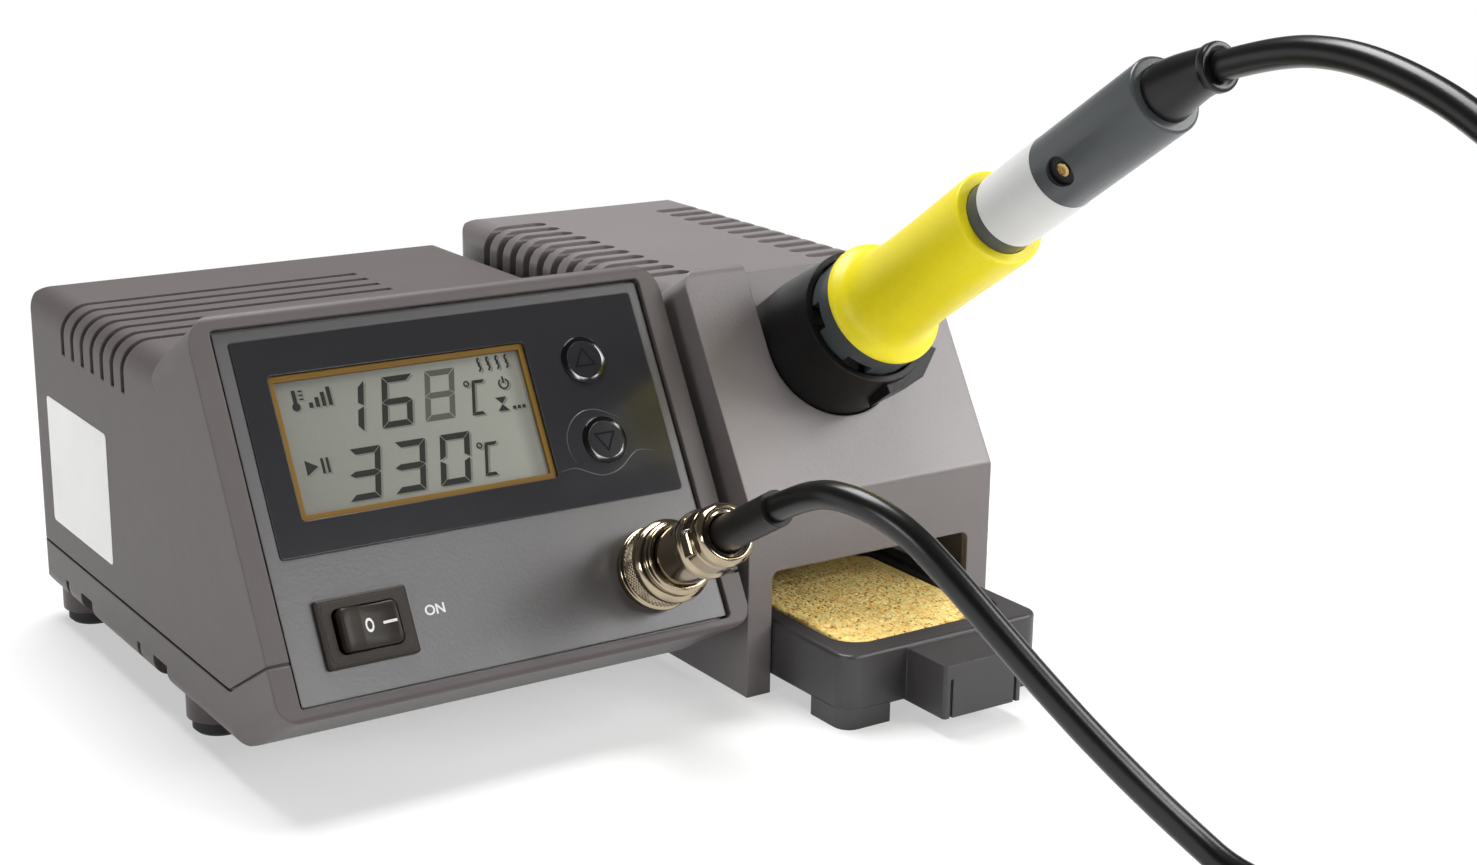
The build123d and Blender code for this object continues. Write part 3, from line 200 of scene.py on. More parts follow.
TAIL_ROUTE = (
    (59.75, -144.28, 161.81), (59.75, -159.98, 162.88), (59.75, -174.98, 160.28), (59.6, -189.98, 155.18),
    (57.8, -209.98, 144.98), (54.8, -229.98, 128.98), (50.8, -246.98, 107.98), (46.2, -259.67, 85.5),
    (42.2, -266.67, 63.5), (39.8, -270.67, 44.5), (39.4, -272.77, 27.5), (45.4, -273.47, 16.8),
    (55.86, -273.91, 10.55),
)


def skin_group(name, **inputs):
    """A shader group that takes these inputs and gives a colour, a roughness and a normal, with its two ends."""
    tree = bpy.data.node_groups.new(name, "ShaderNodeTree")
    for label, value in inputs.items():
        kind = "NodeSocketFloat" if isinstance(value, float) else "NodeSocketColor"
        tree.interface.new_socket(label, in_out="INPUT", socket_type=kind).default_value = value
    for label, kind in (("Colour", "Color"), ("Roughness", "Float"), ("Normal", "Vector")):
        tree.interface.new_socket(label, in_out="OUTPUT", socket_type="NodeSocket" + kind)
    return tree, tree.nodes.new("NodeGroupInput").outputs, tree.nodes.new("NodeGroupOutput")


def speckle(tree, place, scale, detail):
    """A noise pattern's value at a place."""
    return made(tree, "ShaderNodeTexNoise", Vector=place, Scale=scale, Detail=detail).outputs["Fac"]


def rounded_edge(tree, rounding):
    """A normal with softly rounded edges, and how far it turns there."""
    rounded = made(tree, "ShaderNodeBevel", dict(samples=4), Radius=rounding).outputs[0]
    flat = made(tree, "ShaderNodeNewGeometry").outputs["Normal"]
    along = made(tree, "ShaderNodeVectorMath", dict(operation="DOT_PRODUCT"), n0=rounded, n1=flat)
    off = sums(tree, "SUBTRACT", 1.0, along.outputs["Value"])
    return rounded, sums(tree, "MULTIPLY", off, 3.0, clamp=True)


def shaded(tree, colour, shade):
    """A colour made lighter or darker by a value."""
    return made(tree, "ShaderNodeVectorMath", dict(operation="SCALE"), n0=colour, Scale=shade).outputs[0]


def bumped(tree, height, strength, distance, **more):
    """A normal that follows a height."""
    return made(tree, "ShaderNodeBump", Height=height, Strength=strength, Distance=distance, **more).outputs[0]


# Moulded skin: fine grain, faint mottling and softly rounded edges that are painted lighter, partly for rubbing wear
# and partly as a painted highlight.
moulded_skin, skin, given = skin_group(
    "moulded_skin", Colour=(0.2, 0.2, 0.2, 1), Grain=1500.0, Depth=0.00004, Gloss=0.45, Rounding=0.0005, Rub=0.3
)
tree = moulded_skin
place = made(tree, "ShaderNodeTexCoord").outputs["Object"]
grain = speckle(tree, place, skin["Grain"], 2.0)
cloud = speckle(tree, place, 38.0, 4.0)
handling_and_sheen = speckle(tree, place, 240.0, 6.0)
rounded, edge = rounded_edge(tree, skin["Rounding"])
# The edges are painted lighter here: partly rubbing wear, partly a painted highlight along them.
edge = sums(tree, "MULTIPLY", edge, sums(tree, "MULTIPLY", skin["Rub"], handling_and_sheen))
shade = sums(tree, "MULTIPLY_ADD", grain, 0.08, sums(tree, "MULTIPLY_ADD", cloud, 0.16, 0.88))
dull = sums(tree, "MULTIPLY_ADD", handling_and_sheen, 0.1, 0.95)
feed(
    given,
    Colour=shaded(tree, skin["Colour"], sums(tree, "ADD", shade, edge)),
    Roughness=sums(tree, "MULTIPLY", dull, skin["Gloss"], clamp=True),
    Normal=bumped(tree, grain, 1.0, skin["Depth"], Normal=rounded),
)


def finish_of(name, skin_tree, values, **shader):
    """A finish: a shared skin with its own values on a Principled shader."""
    finish = bpy.data.materials.new(name)
    finish.use_nodes = True
    tree = finish.node_tree
    skin = made(tree, "ShaderNodeGroup", dict(node_tree=skin_tree), **values).outputs
    looks = dict(Base_Color=skin["Colour"], Roughness=skin["Roughness"], Normal=skin["Normal"])
    feed(tree.nodes["Principled BSDF"], **looks, **shader)
    return finish


def moulded(name, colour, grain=1500.0, depth=0.00004, gloss=0.45, rounding=0.0005, rub=0.3, shine=0.5):
    """A moulded plastic or rubber finish."""
    values = dict(Colour=colour, Grain=grain, Depth=depth, Gloss=gloss, Rounding=rounding, Rub=rub)
    return finish_of(name, moulded_skin, values, Specular_IOR_Level=shine)


def smooth(name, colour, grain, gloss, depth=0.00001, rub=0.0, shine=0.5):
    """A moulded or printed finish without rounded edges."""
    return moulded(name, colour, grain, depth, gloss, 0.0, rub, shine)


def dress(finish, *nodes):
    """Give CAD nodes a finish."""
    for name in nodes:
        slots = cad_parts[name].data.materials
        slots.clear()
        slots.append(finish)


def mm(*spot):
    """A place given in millimetres."""
    return Vector(spot) * MM


def lofted(name, bodies, finish, sharp=radians(32), ring=False):
    """A piece of bodies, each a list of rows of points with faces between them, and sharp edges past an angle.

    A body has flat ends, ends in single points, or is joined to a ring.
    """
    points, faces = [], []
    for rows in bodies:
        around, spots = max(len(row) for row in rows), []
        for row in rows:
            spots.append([len(points) + k % len(row) for k in range(around)])
            points += row
        for low, high in zip(spots, spots[1:] + spots[:1] if ring else spots[1:]):
            for k in range(around):
                m = (k + 1) % around
                faces.append(tuple(dict.fromkeys((low[k], low[m], high[m], high[k]))))
        if not ring:
            faces += [tuple(end) for end in (spots[0][::-1], spots[-1]) if end[0] != end[1]]
    mesh = bpy.data.meshes.new(name)
    mesh.from_pydata(points, [], faces)
    mesh.polygons.foreach_set("use_smooth", [True] * len(mesh.polygons))
    mesh.set_sharp_from_angle(angle=sharp)
    mesh.materials.append(finish)
    return placed(name, mesh)


def cord_line(name, route):
    """Points along a smooth spline that has the route's points as its control points."""
    line = bpy.data.curves.new(name, "CURVE")
    line.dimensions = "3D"
    line.resolution_u = 10
    spline = line.splines.new("NURBS")
    spline.points.add(len(route) - 1)
    for point, spot in zip(spline.points, route):
        point.co = (*spot, 1)
    spline.order_u = 3
    spline.use_endpoint_u = True
    holder = placed(name, line)
    read = bpy.data.meshes.new_from_object(holder)
    points = [vertex.co.copy() for vertex in read.vertices]
    bpy.data.objects.remove(holder)
    bpy.data.meshes.remove(read)
    return points


def cord_tube(name, line, finish):
    """A round tube along a line, with flat ends and a UV map in metres."""
    rows, along, far = [], [], 0.0
    side = (line[1] - line[0]).orthogonal().normalized()
    turns = [2 * pi * k / CORD_SIDES for k in range(CORD_SIDES)]
    for i, spot in enumerate(line):
        way = (line[min(i + 1, len(line) - 1)] - line[max(i - 1, 0)]).normalized()
        side = (side - way * side.dot(way)).normalized()
        other = way.cross(side)
        far += (spot - line[max(i - 1, 0)]).length
        along.append(far)
        rows.append([spot + (side * cos(angle) + other * sin(angle)) * CORD_RADIUS for angle in turns])
    tube = lofted(name, [rows], finish, sharp=radians(60))
    jacket_map = tube.data.uv_layers.new(name="jacket")
    for loop, vertex in zip(jacket_map.data, tube.data.loops):
        row, k = divmod(vertex.vertex_index, CORD_SIDES)
        loop.uv = (k / CORD_SIDES * 2 * pi * CORD_RADIUS, along[row])
    return tube


def coil_spot(turned):
    """The coil's middle line after turning clockwise by an angle in degrees."""
    radius = COIL_RADIUS - COIL_PITCH * min(turned, COIL_TURNED - turned) / 360
    share = min(max((turned - COIL_TURNED / 2) / 180 + 0.5, 0), 1)
    angle = radians(COIL_START - turned)
    high = COIL_LOW + COIL_STEP * share * share * (3 - 2 * share)
    return Vector((COIL_MIDDLE[0] + radius * cos(angle), COIL_MIDDLE[1] + radius * sin(angle), high))


sleeve_end = Vector((-0.00135, -0.07287, 0.0636))
boot_end = Vector((0.05975, -0.129979, 0.157283))
coil_in = Vector((0.0961579, -0.206067, 0.00395))
coil_out = Vector((0.0678524, -0.273568, 0.01055))
front_line = cord_line("front_route", [sleeve_end, *(mm(*spot) for spot in FRONT_ROUTE), coil_in])
tail_line = cord_line("tail_route", [boot_end, *(mm(*spot) for spot in TAIL_ROUTE), coil_out])
coil_line = cord_line(
    "coil_route", [coil_in, *(coil_spot(COIL_TURNED * i / COIL_POINTS) for i in range(COIL_POINTS + 1)), coil_out]
)
jacket = smooth("cord_jacket", JACKET_BLACK, grain=900.0, depth=0.000002, gloss=0.28, shine=0.45)
cord_front = cord_tube("cord_front_run", front_line, jacket)
cord_coil = cord_tube("cord_spare_coil", coil_line, jacket)
cord_tail = cord_tube("cord_tail_run", tail_line, jacket)
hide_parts("cord_front")
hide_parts("cord_coil")
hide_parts("cord_tail")
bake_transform(cord_front)
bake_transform(cord_tail)
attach(cord_coil, "station")
dress(moulded("tie_nylon", TIE_BLACK, grain=1200.0, gloss=0.35, rounding=0.0002), "coil_ties")

# Lower housing: the moulded grey floor of the unit, with the rounded lip under the panel.
# It stands on four pressed-in rubber feet, and four screws from below hold the upper housing to it.

CASE_GREY = (0.081, 0.0685, 0.0665, 1)
FOOT_BLACK = (0.016, 0.016, 0.016, 1)
SCREW_STEEL = (0.46, 0.45, 0.43, 1)

# Metal skin: fine scratches, cloudy polish and edges that are worn brighter.
metal_skin, skin, given = skin_group(
    "metal_skin", Colour=(0.6, 0.6, 0.6, 1), Gloss=0.2, Scratch=0.3, Rounding=0.0002
)
tree = metal_skin
place = made(tree, "ShaderNodeTexCoord").outputs["Object"]
drawn = made(tree, "ShaderNodeMapping", Vector=place, Scale=(1.0, 14.0, 5.0)).outputs[0]
lines = speckle(tree, drawn, 420.0, 5.0)
cloud = speckle(tree, place, 160.0, 4.0)
rounded, edge = rounded_edge(tree, skin["Rounding"])
shade = sums(tree, "MULTIPLY_ADD", edge, 0.25, sums(tree, "MULTIPLY_ADD", cloud, 0.24, 0.86))
dull = sums(tree, "MULTIPLY", sums(tree, "SUBTRACT", lines, 0.45), skin["Scratch"])
dull = sums(tree, "ADD", sums(tree, "MULTIPLY_ADD", cloud, 0.08, dull), skin["Gloss"], clamp=True)
worn = bumped(tree, lines, 0.25, 0.00002, Normal=rounded)
feed(given, Colour=shaded(tree, skin["Colour"], shade), Roughness=dull, Normal=worn)


def metal(name, colour, gloss=0.2, scratch=0.3, rounding=0.0002):
    """A metal finish."""
    values = dict(Colour=colour, Gloss=gloss, Scratch=scratch, Rounding=rounding)
    return finish_of(name, metal_skin, values, Metallic=1.0)


lower_finish = moulded(
    "lower_case_plastic", CASE_GREY,
    grain=1100.0, depth=0.00002, gloss=0.42, rounding=0.0006, rub=1.2, shine=0.35,
)
dress(lower_finish, "lower_housing")
dress(moulded("foot_rubber", FOOT_BLACK, grain=700.0, gloss=0.7, rounding=0.0004), "rubber_feet")
screw_finish = metal("screw_zinc", SCREW_STEEL, gloss=0.3, scratch=0.4)
dress(screw_finish, "housing_screws")

# Upper housing: one grey moulding that is roof, walls, back and the hood round the sloping panel.
# Its skin has a fine sparked grain. A blank paper sticker is stuck on the left wall.

STICKER_WHITE = (0.82, 0.82, 0.81, 1)
STICKER_FROM = (63.5, 28.0)
STICKER_SIZE = (42.0, 32.0)

upper_finish = moulded(
    "upper_case_plastic", CASE_GREY, grain=1300.0, depth=0.00003, gloss=0.5, rounding=0.0006, rub=0.9
)
dress(upper_finish, "upper_housing")


def round_rect(middle, size, radius, steps=6):
    """Corner points of a rectangle with rounded corners, in millimetres."""
    ring = []
    for k, (sx, sy) in enumerate(((1, 1), (-1, 1), (-1, -1), (1, -1))):
        for i in range(steps + 1):
            angle = pi / 2 * (k + i / steps)
            u = middle[0] + sx * (size[0] / 2 - radius) + radius * cos(angle)
            v = middle[1] + sy * (size[1] / 2 - radius) + radius * sin(angle)
            ring.append((u, v))
    return ring


def plates(name, shapes, place, low, high, finish):
    """Thin flat shapes, each a ring of points in millimetres, between two heights over a plane."""
    bodies = []
    for shape in shapes:
        turns = sum(a[0] * b[1] - a[1] * b[0] for a, b in zip(shape, shape[1:] + shape[:1]))
        ring = shape if turns > 0 else shape[::-1]
        bodies.append([[place @ mm(u, v, height) for u, v in ring] for height in (low, high)])
    return lofted(name, bodies, finish)


left_wall = Matrix(((0, 0, -1, -0.09575), (-1, 0, 0, 0), (0, 1, 0, 0), (0, 0, 0, 1)))
sticker_middle = (-STICKER_FROM[0] - STICKER_SIZE[0] / 2, STICKER_FROM[1] + STICKER_SIZE[1] / 2)
sticker_finish = smooth("sticker_paper", STICKER_WHITE, grain=2400.0, gloss=0.5)
sticker = plates(
    "blank_sticker", [round_rect(sticker_middle, STICKER_SIZE, 1.2)], left_wall, -0.02, 0.09, sticker_finish
)
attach(sticker, "station")

# Front panel: a separate grey plate set into the hood and leaning back, a shade darker than the case.
# The word by the switch is printed on it in white.

PANEL_GREY = (0.072, 0.068, 0.069, 1)
PRINT_WHITE = (0.7, 0.7, 0.69, 1)
WORD_SPOT = (-17.9, 15.5)
WORD_HIGH = 2.15
panel = Matrix.Translation((-0.03775, -0.031468, 0.0233)) @ Matrix.Rotation(radians(60), 4, "X")

panel_finish = moulded(
    "panel_plastic", PANEL_GREY,
    grain=1300.0, depth=0.00003, gloss=0.34, rounding=0.0004, rub=0.5, shine=0.7,
)
dress(panel_finish, "front_panel")
ink = smooth("white_ink", PRINT_WHITE, grain=2600.0, gloss=0.5)
letters = bpy.data.curves.new("switch_word", "FONT")
letters.body = "ON"
letters.size = WORD_HIGH / 0.7 * MM
letters.align_x = "CENTER"
letters.offset = 0.03 * WORD_HIGH * MM
letters.extrude = 0.02 * MM
holder = placed("switch_letters", letters)
word_mesh = bpy.data.meshes.new_from_object(holder)
bpy.data.objects.remove(holder)
word_mesh.transform(panel @ Matrix.Translation(mm(WORD_SPOT[0], WORD_SPOT[1] - WORD_HIGH / 2, 0.03)))
word_mesh.materials.clear()
word_mesh.materials.append(ink)
switch_word = placed("switch_word", word_mesh)
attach(switch_word, "station")

# Display film: a dark glossy plastic film stuck on the panel, with a window for the display.
# Fine creases stand in it from the window's corner round the lower button, painted a lighter grey as a painted
# highlight along their ridges.

FILM_DARK = (0.026, 0.026, 0.029, 1)
FILM_CREASE_SHEEN = (0.09, 0.09, 0.094, 1)
CREASE_RIDGE = ((-0.14, -0.03), (0.14, -0.03), (0.08, 0.03), (0.0, 0.045), (-0.08, 0.03))
FILM_CREASES = {
    "film_crease_low": (
        (19.9, 40.0), (22.4, 40.6), (24.7, 40.3), (27.1, 39.0), (30.6, 37.5), (35.4, 38.4), (39.0, 41.4),
        (41.9, 42.7), (46.0, 41.1),
    ),
    "film_crease_high": (
        (24.6, 41.4), (23.4, 44.6), (24.0, 48.6), (26.6, 52.0), (30.6, 53.6), (34.6, 52.8), (38.4, 50.4)
    ),
}

# The film's edges get a strong painted highlight.
film_finish = moulded("display_film", FILM_DARK, grain=260.0, depth=0.000004, gloss=0.12, rounding=0.0003, rub=4.0)
dress(film_finish, "display_overlay")
# The creases' lighter grey is a painted highlight.
crease_sheen_finish = smooth("film_crease_sheen", FILM_CREASE_SHEEN, grain=260.0, gloss=0.15)
film_up = panel.to_3x3() @ Vector((0, 0, 1))
for name, route in FILM_CREASES.items():
    line = cord_line(name + "_route", [panel @ mm(u, v, 0.3) for u, v in route])
    rows = []
    for i, spot in enumerate(line):
        way = line[min(i + 1, len(line) - 1)] - line[max(i - 1, 0)]
        side = film_up.cross(way).normalized()
        thin = min(1.0, 4.0 * min(i, len(line) - 1 - i) / len(line) + 0.2)
        rows.append([spot + (side * out + film_up * lift) * MM * thin for out, lift in CREASE_RIDGE])
    film_crease = lofted(name, [rows], crease_sheen_finish, sharp=radians(70))
    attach(film_crease, "station")

# Display: grey-green glass in an amber frame, lit from behind by a white guide on the display board.
# Two rows of slanted seven-bar figures and a few plain signs show dark in it, with a soft shadow behind.

GLASS_GREEN = (0.30, 0.305, 0.262)
BAR_DARK = (0.022, 0.0225, 0.02, 1)
BAR_HALF = (0.085, 0.086, 0.074, 1)
BAR_SHADE = (0.16, 0.162, 0.138, 1)
FRAME_AMBER = (0.19, 0.105, 0.018, 1)
GUIDE_WHITE = (0.8, 0.8, 0.77, 1)
FIGURE_WIDE = 7.3
FIGURE_HIGH = 11.4
FIGURE_BAR = 1.35
FIGURE_GAP = 0.13
FIGURE_SLANT = 0.235
FIGURE_BARS = {"0": "abcdef", "1": "bc", "3": "abcdg", "6": "acdefg", "8": "abcdefg"}
GLASS_TOP = -1.2

glass_finish, tree, shader, spot = new_finish("display_glass")
flat_spot = made(
    tree, "ShaderNodeMapping", dict(vector_type="TEXTURE"),
    Vector=spot, Location=panel.translation, Rotation=panel.to_euler(), Scale=(MM, MM, MM),
).outputs[0]
across_up = made(tree, "ShaderNodeSeparateXYZ", Vector=flat_spot).outputs
# Near its right and top edges the glass is painted darker: painted shadow of the frame over the sunken glass. Across
# it the tone rises towards the right and the top.
right_painted_shadow = ramp(tree, across_up["X"], 12.4, 16.6, end=0.3)
top_painted_shadow = ramp(tree, across_up["Y"], 67.6, 69.8, end=0.22)
tone = sums(tree, "MULTIPLY_ADD", across_up["Y"], 0.002, 0.64)
tone = sums(tree, "MULTIPLY_ADD", across_up["X"], 0.005, tone)
tone = sums(tree, "SUBTRACT", tone, sums(tree, "ADD", right_painted_shadow, top_painted_shadow))
tone = sums(tree, "MULTIPLY_ADD", speckle(tree, spot, 900.0, 3.0), 0.06, tone)
feed(
    shader,
    Base_Color=shaded(tree, GLASS_GREEN, tone),
    Roughness=sums(tree, "MULTIPLY_ADD", speckle(tree, spot, 300.0, 4.0), 0.12, 0.3),
    Specular_IOR_Level=0.35,
)
dress(glass_finish, "lcd_glass")
amber = moulded("amber_frame", FRAME_AMBER, grain=1400.0, gloss=0.4, rounding=0.0003, rub=0.4, shine=0.15)
dress(amber, "lcd_frame")
dress(moulded("guide_acrylic", GUIDE_WHITE, grain=1800.0, gloss=0.25, rounding=0.0003, rub=0.1), "light_guide")


def figure(sign):
    """The bars of an upright figure, in millimetres."""
    wide, high, bar, gap, half = FIGURE_WIDE, FIGURE_HIGH, FIGURE_BAR, FIGURE_GAP, FIGURE_HIGH / 2
    shapes = {
        "a": [(gap, high), (wide - gap, high), (wide - bar - gap, high - bar), (bar + gap, high - bar)],
        "d": [(bar + gap, bar), (wide - bar - gap, bar), (wide - gap, 0), (gap, 0)],
        "g": [(gap, half), (bar, half + bar / 2), (wide - bar, half + bar / 2), (wide - gap, half)]
        + [(wide - bar, half - bar / 2), (bar, half - bar / 2)],
        "f": [(0, high - gap), (bar, high - bar - gap), (bar, half + bar / 2 + gap), (0, half + gap)],
        "e": [(0, half - gap), (bar, half - bar / 2 - gap), (bar, bar + gap), (0, gap)],
    }
    shapes["b"] = [(wide - x, y) for x, y in shapes["f"]]
    shapes["c"] = [(wide - x, y) for x, y in shapes["e"]]
    return [shapes[name] for name in FIGURE_BARS[sign]]


def ring_band(middle, outer, inner, start=0.0, end=359.0, steps=16, stretch=1.0):
    """A part of a flat ring as one outline, in millimetres: a whole ring keeps a hair's slit."""
    turns = [radians(start + (end - start) * i / steps) for i in range(steps + 1)]
    arcs = [[(middle[0] + r * cos(a), middle[1] + r * sin(a) * stretch) for a in turns] for r in (outer, inner)]
    return [arcs[0] + (arcs[1][::-1] if inner else [])]


def box_mark(left, low, wide, high):
    """One upright bar, in millimetres."""
    return [(left, low), (left + wide, low), (left + wide, low + high), (left, low + high)]


def slanted(shape, corner, high):
    """A shape drawn up from its foot, set by its top left corner and slanted."""
    return [(corner[0] + x - FIGURE_SLANT * (high - y), corner[1] - high + y) for x, y in shape]


dark_bars, half_bars = [], []
for text, top, starts in (("168", 67.9, (-27.7, -16.1, -5.7)), ("330", 53.1, (-27.6, -16.9, -6.0))):
    for column, (sign, start) in enumerate(zip(text, starts)):
        shapes = [slanted(shape, (start, top), FIGURE_HIGH) for shape in figure(sign)]
        if text == "168" and column == 2:
            half_bars += shapes
        else:
            dark_bars += shapes
for degree, letter, tall in (((3.5, 63.7), (5.0, 64.3), 8.0), ((2.8, 49.4), (4.2, 49.9), 7.6)):
    dark_bars += ring_band(degree, 0.75, 0.4)
    stem = [(0, 0), (0.75, 0.75), (0.75, tall - 0.75), (0, tall)]
    arms = [[(0.1, end), (3.1, end), (2.6, near), (0.85, near)] for end, near in ((tall, tall - 0.75), (0, 0.75))]
    dark_bars += [slanted(shape, letter, tall) for shape in (stem, *arms)]
thermometer = [box_mark(-37.4, 64.7, 0.9, 3.0)] + ring_band((-36.95, 64.0), 0.95, 0.0, steps=12)
thermometer += [box_mark(-35.9, 65.4 + 0.9 * k, 1.0, 0.35) for k in range(3)]
thermometer += [box_mark(-34.0 + 1.5 * k, 63.4, 0.9, 1.2 + 1.0 * k) for k in range(4)]
pointer = [[(-38.2, 48.8), (-35.4, 50.5), (-38.2, 52.2)]]
pointer += [box_mark(left, 48.8, 0.6, 3.4) for left in (-34.6, -33.4)]
warm_waves = []
for k in range(4):
    warm_waves += ring_band((7.2 + 2.3 * k, 66.9), 1.0, 0.55, -70.0, 70.0, steps=8)
    warm_waves += ring_band((8.35 + 2.3 * k, 68.5), 1.0, 0.55, 110.0, 250.0, steps=8)
ready_mark = ring_band((12.6, 62.6), 1.35, 0.95, 125.0, 415.0, steps=20) + [box_mark(12.38, 62.7, 0.44, 1.6)]
hourglass = [[(9.6, 59.6), (12.4, 59.6), (11.0, 58.05)], [(11.0, 57.95), (12.4, 56.4), (9.6, 56.4)]]
hourglass += [box_mark(13.4 + 1.2 * k, 56.4, 0.8, 0.8) for k in range(3)]
dark_bars += thermometer + pointer + warm_waves + ready_mark + hourglass
soft_shadow = [[(u + 0.45, v - 0.4) for u, v in shape] for shape in dark_bars]
for name, finish_name, colour, shapes, low, high in (
    ("display_bars", "display_bar", BAR_DARK, dark_bars, -0.01, 0.05),
    ("display_half_bars", "display_half_bar", BAR_HALF, half_bars, -0.01, 0.035),
    ("display_bar_shadow", "display_shade", BAR_SHADE, soft_shadow, -0.02, 0.015),
):
    finish = smooth(finish_name, colour, grain=1800.0, depth=0.0, gloss=0.6, shine=0.15)
    marks = plates(name, shapes, panel, GLASS_TOP + low, GLASS_TOP + high, finish)
    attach(marks, "station")

# Display board: green circuit board behind the panel on four screws, with the two button switches.
# Copper runs show lighter under its lacquer.

BOARD_GREEN = (0.012, 0.085, 0.035, 1)
BOARD_RUN = (0.03, 0.16, 0.06, 1)
SWITCH_BLACK = (0.018, 0.018, 0.019, 1)


def mixed(tree, share, first, second):
    """A colour between two others."""
    return made(tree, "ShaderNodeMix", dict(data_type="RGBA"), n0=share, n6=first, n7=second).outputs[2]


board_finish, tree, shader, spot = new_finish("board_lacquer")
runs = made(
    tree, "ShaderNodeTexVoronoi", dict(feature="DISTANCE_TO_EDGE", distance="MANHATTAN"),
    Vector=spot, Scale=260.0, Randomness=0.75,
).outputs["Distance"]
copper = sums(tree, "LESS_THAN", runs, 0.09)
feed(
    shader,
    Base_Color=mixed(tree, copper, BOARD_GREEN, BOARD_RUN),
    Roughness=sums(tree, "MULTIPLY_ADD", speckle(tree, spot, 500.0, 3.0), 0.2, 0.22),
    Normal=bumped(tree, copper, 0.6, 0.00004),
)
dress(board_finish, "display_board")
dress(screw_finish, "display_screws")
black_finish = moulded("black_nylon", SWITCH_BLACK, grain=1200.0, rounding=0.0003)
dress(black_finish, "tact_switches")

# Buttons: two round keys under the film, each a flat disc in a polished black sloping rim.
# A thin black triangle is printed on each, one up and one down.

KEY_DARK = (0.023, 0.023, 0.026, 1)
KEY_RIM = (0.003, 0.003, 0.0032, 1)
KEY_SPOTS = {"upper": (33.2, 65.0), "lower": (33.2, 45.8)}
MARK_SLIT = 0.02


def eased(outline, steps=4, closed=False):
    """Corners (across, up, ease) as points, each corner rounded off over its ease."""
    soft, last = [], len(outline) - 1
    for i, (out, up, ease) in enumerate(outline):
        if ease == 0 or (not closed and i in (0, last)):
            soft.append((out, up))
            continue
        here = Vector((out, up))
        before, after = Vector(outline[i - 1][:2]), Vector(outline[(i + 1) % len(outline)][:2])
        first = here + (before - here).normalized() * ease
        final = here + (after - here).normalized() * ease
        for k in range(steps + 1):
            share = k / steps
            soft.append(tuple(first * (1 - share) ** 2 + here * 2 * share * (1 - share) + final * share**2))
    return soft


def turned(name, outline, place, finish, steps=96, sharp=radians(32)):
    """A turned piece: an outline of (radius, height) in millimetres, from axis to axis or closed."""
    turns = [2 * pi * k / steps for k in range(steps)]
    rows = [[place @ mm(r * cos(a), r * sin(a), up) for a in turns[: steps if r else 1]] for r, up in outline]
    return lofted(name, [rows], finish, sharp, ring=outline[0][0] > 0)


key_finish = smooth("key_film", KEY_DARK, grain=300.0, depth=0.000004, gloss=0.12, rub=0.2)
rim_finish = smooth("key_rim", KEY_RIM, grain=300.0, depth=0.0, gloss=0.14, shine=1.0)
mark_finish = smooth("key_mark", KEY_RIM, grain=300.0, depth=0.0, gloss=0.5, shine=0.1)
rim_outline = eased(
    [(3.6, -0.9, 0), (5.5, -0.9, 0.1), (5.5, 0.66, 0.12), (4.4, 0.92, 0.1), (4.2, 0.9, 0.05), (3.6, 0.9, 0)],
    closed=True,
)
disc_outline = [(0, -0.6), (4.28, -0.6), (4.28, 0.9), (4.2, 0.925), (0, 0.925)]
for level_name, (u, v) in KEY_SPOTS.items():
    spot = panel @ Matrix.Translation(mm(u, v, 0))
    body = level_name + "_button"
    rim = turned(body + "_rim", rim_outline, spot, rim_finish, sharp=radians(9))
    disc = turned(body + "_disc", disc_outline, spot, key_finish, sharp=radians(9))
    way = 1 if level_name == "upper" else -1
    outer = [(2.9, -1.7 * way), (0, 3.0 * way), (-2.9, -1.7 * way)]
    inner = [(2.08, -1.25 * way), (0, 2.1 * way), (-2.08, -1.25 * way)]
    slit = [(across - MARK_SLIT, up) for across, up in (outer[0], inner[0])]
    mark = plates(body + "_mark", [outer + slit + inner[::-1]], spot, 0.9, 0.945, mark_finish)
    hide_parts("button_up" if level_name == "upper" else "button_down")
    for piece in (rim, disc, mark):
        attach(piece, body)

# Rocker switch: a black nylon frame snapped into the panel, with a hollow-faced rocker on two small pivots.
# A round-cornered lip frames its opening, white signs are printed on the rocker, and brass tabs stand out behind.

SWITCH_NYLON = (0.026, 0.0205, 0.016, 1)
ROCKER_NYLON = (0.024, 0.019, 0.015, 1)
TAB_BRASS = (0.62, 0.42, 0.15, 1)
SWITCH_SPOT = (-34.4, 14.4)
ROCKER_FACE = (
    (-6.45, 2.9), (-6.35, 3.5), (-6.1, 3.85), (-5.7, 3.9), (-4.0, 3.3), (-2.4, 2.7), (-1.55, 2.35), (-1.45, 2.31),
    (-1.35, 2.28), (0.2, 2.0), (1.8, 1.86), (3.4, 1.9), (5.0, 2.12), (6.2, 2.42), (6.8, 2.55), (7.05, 2.4),
    (7.15, 2.0),
)
ROCKER_HALF = 4.7
ROCKER_CORNER = 1.2
ROCKER_FOOT = -1.2

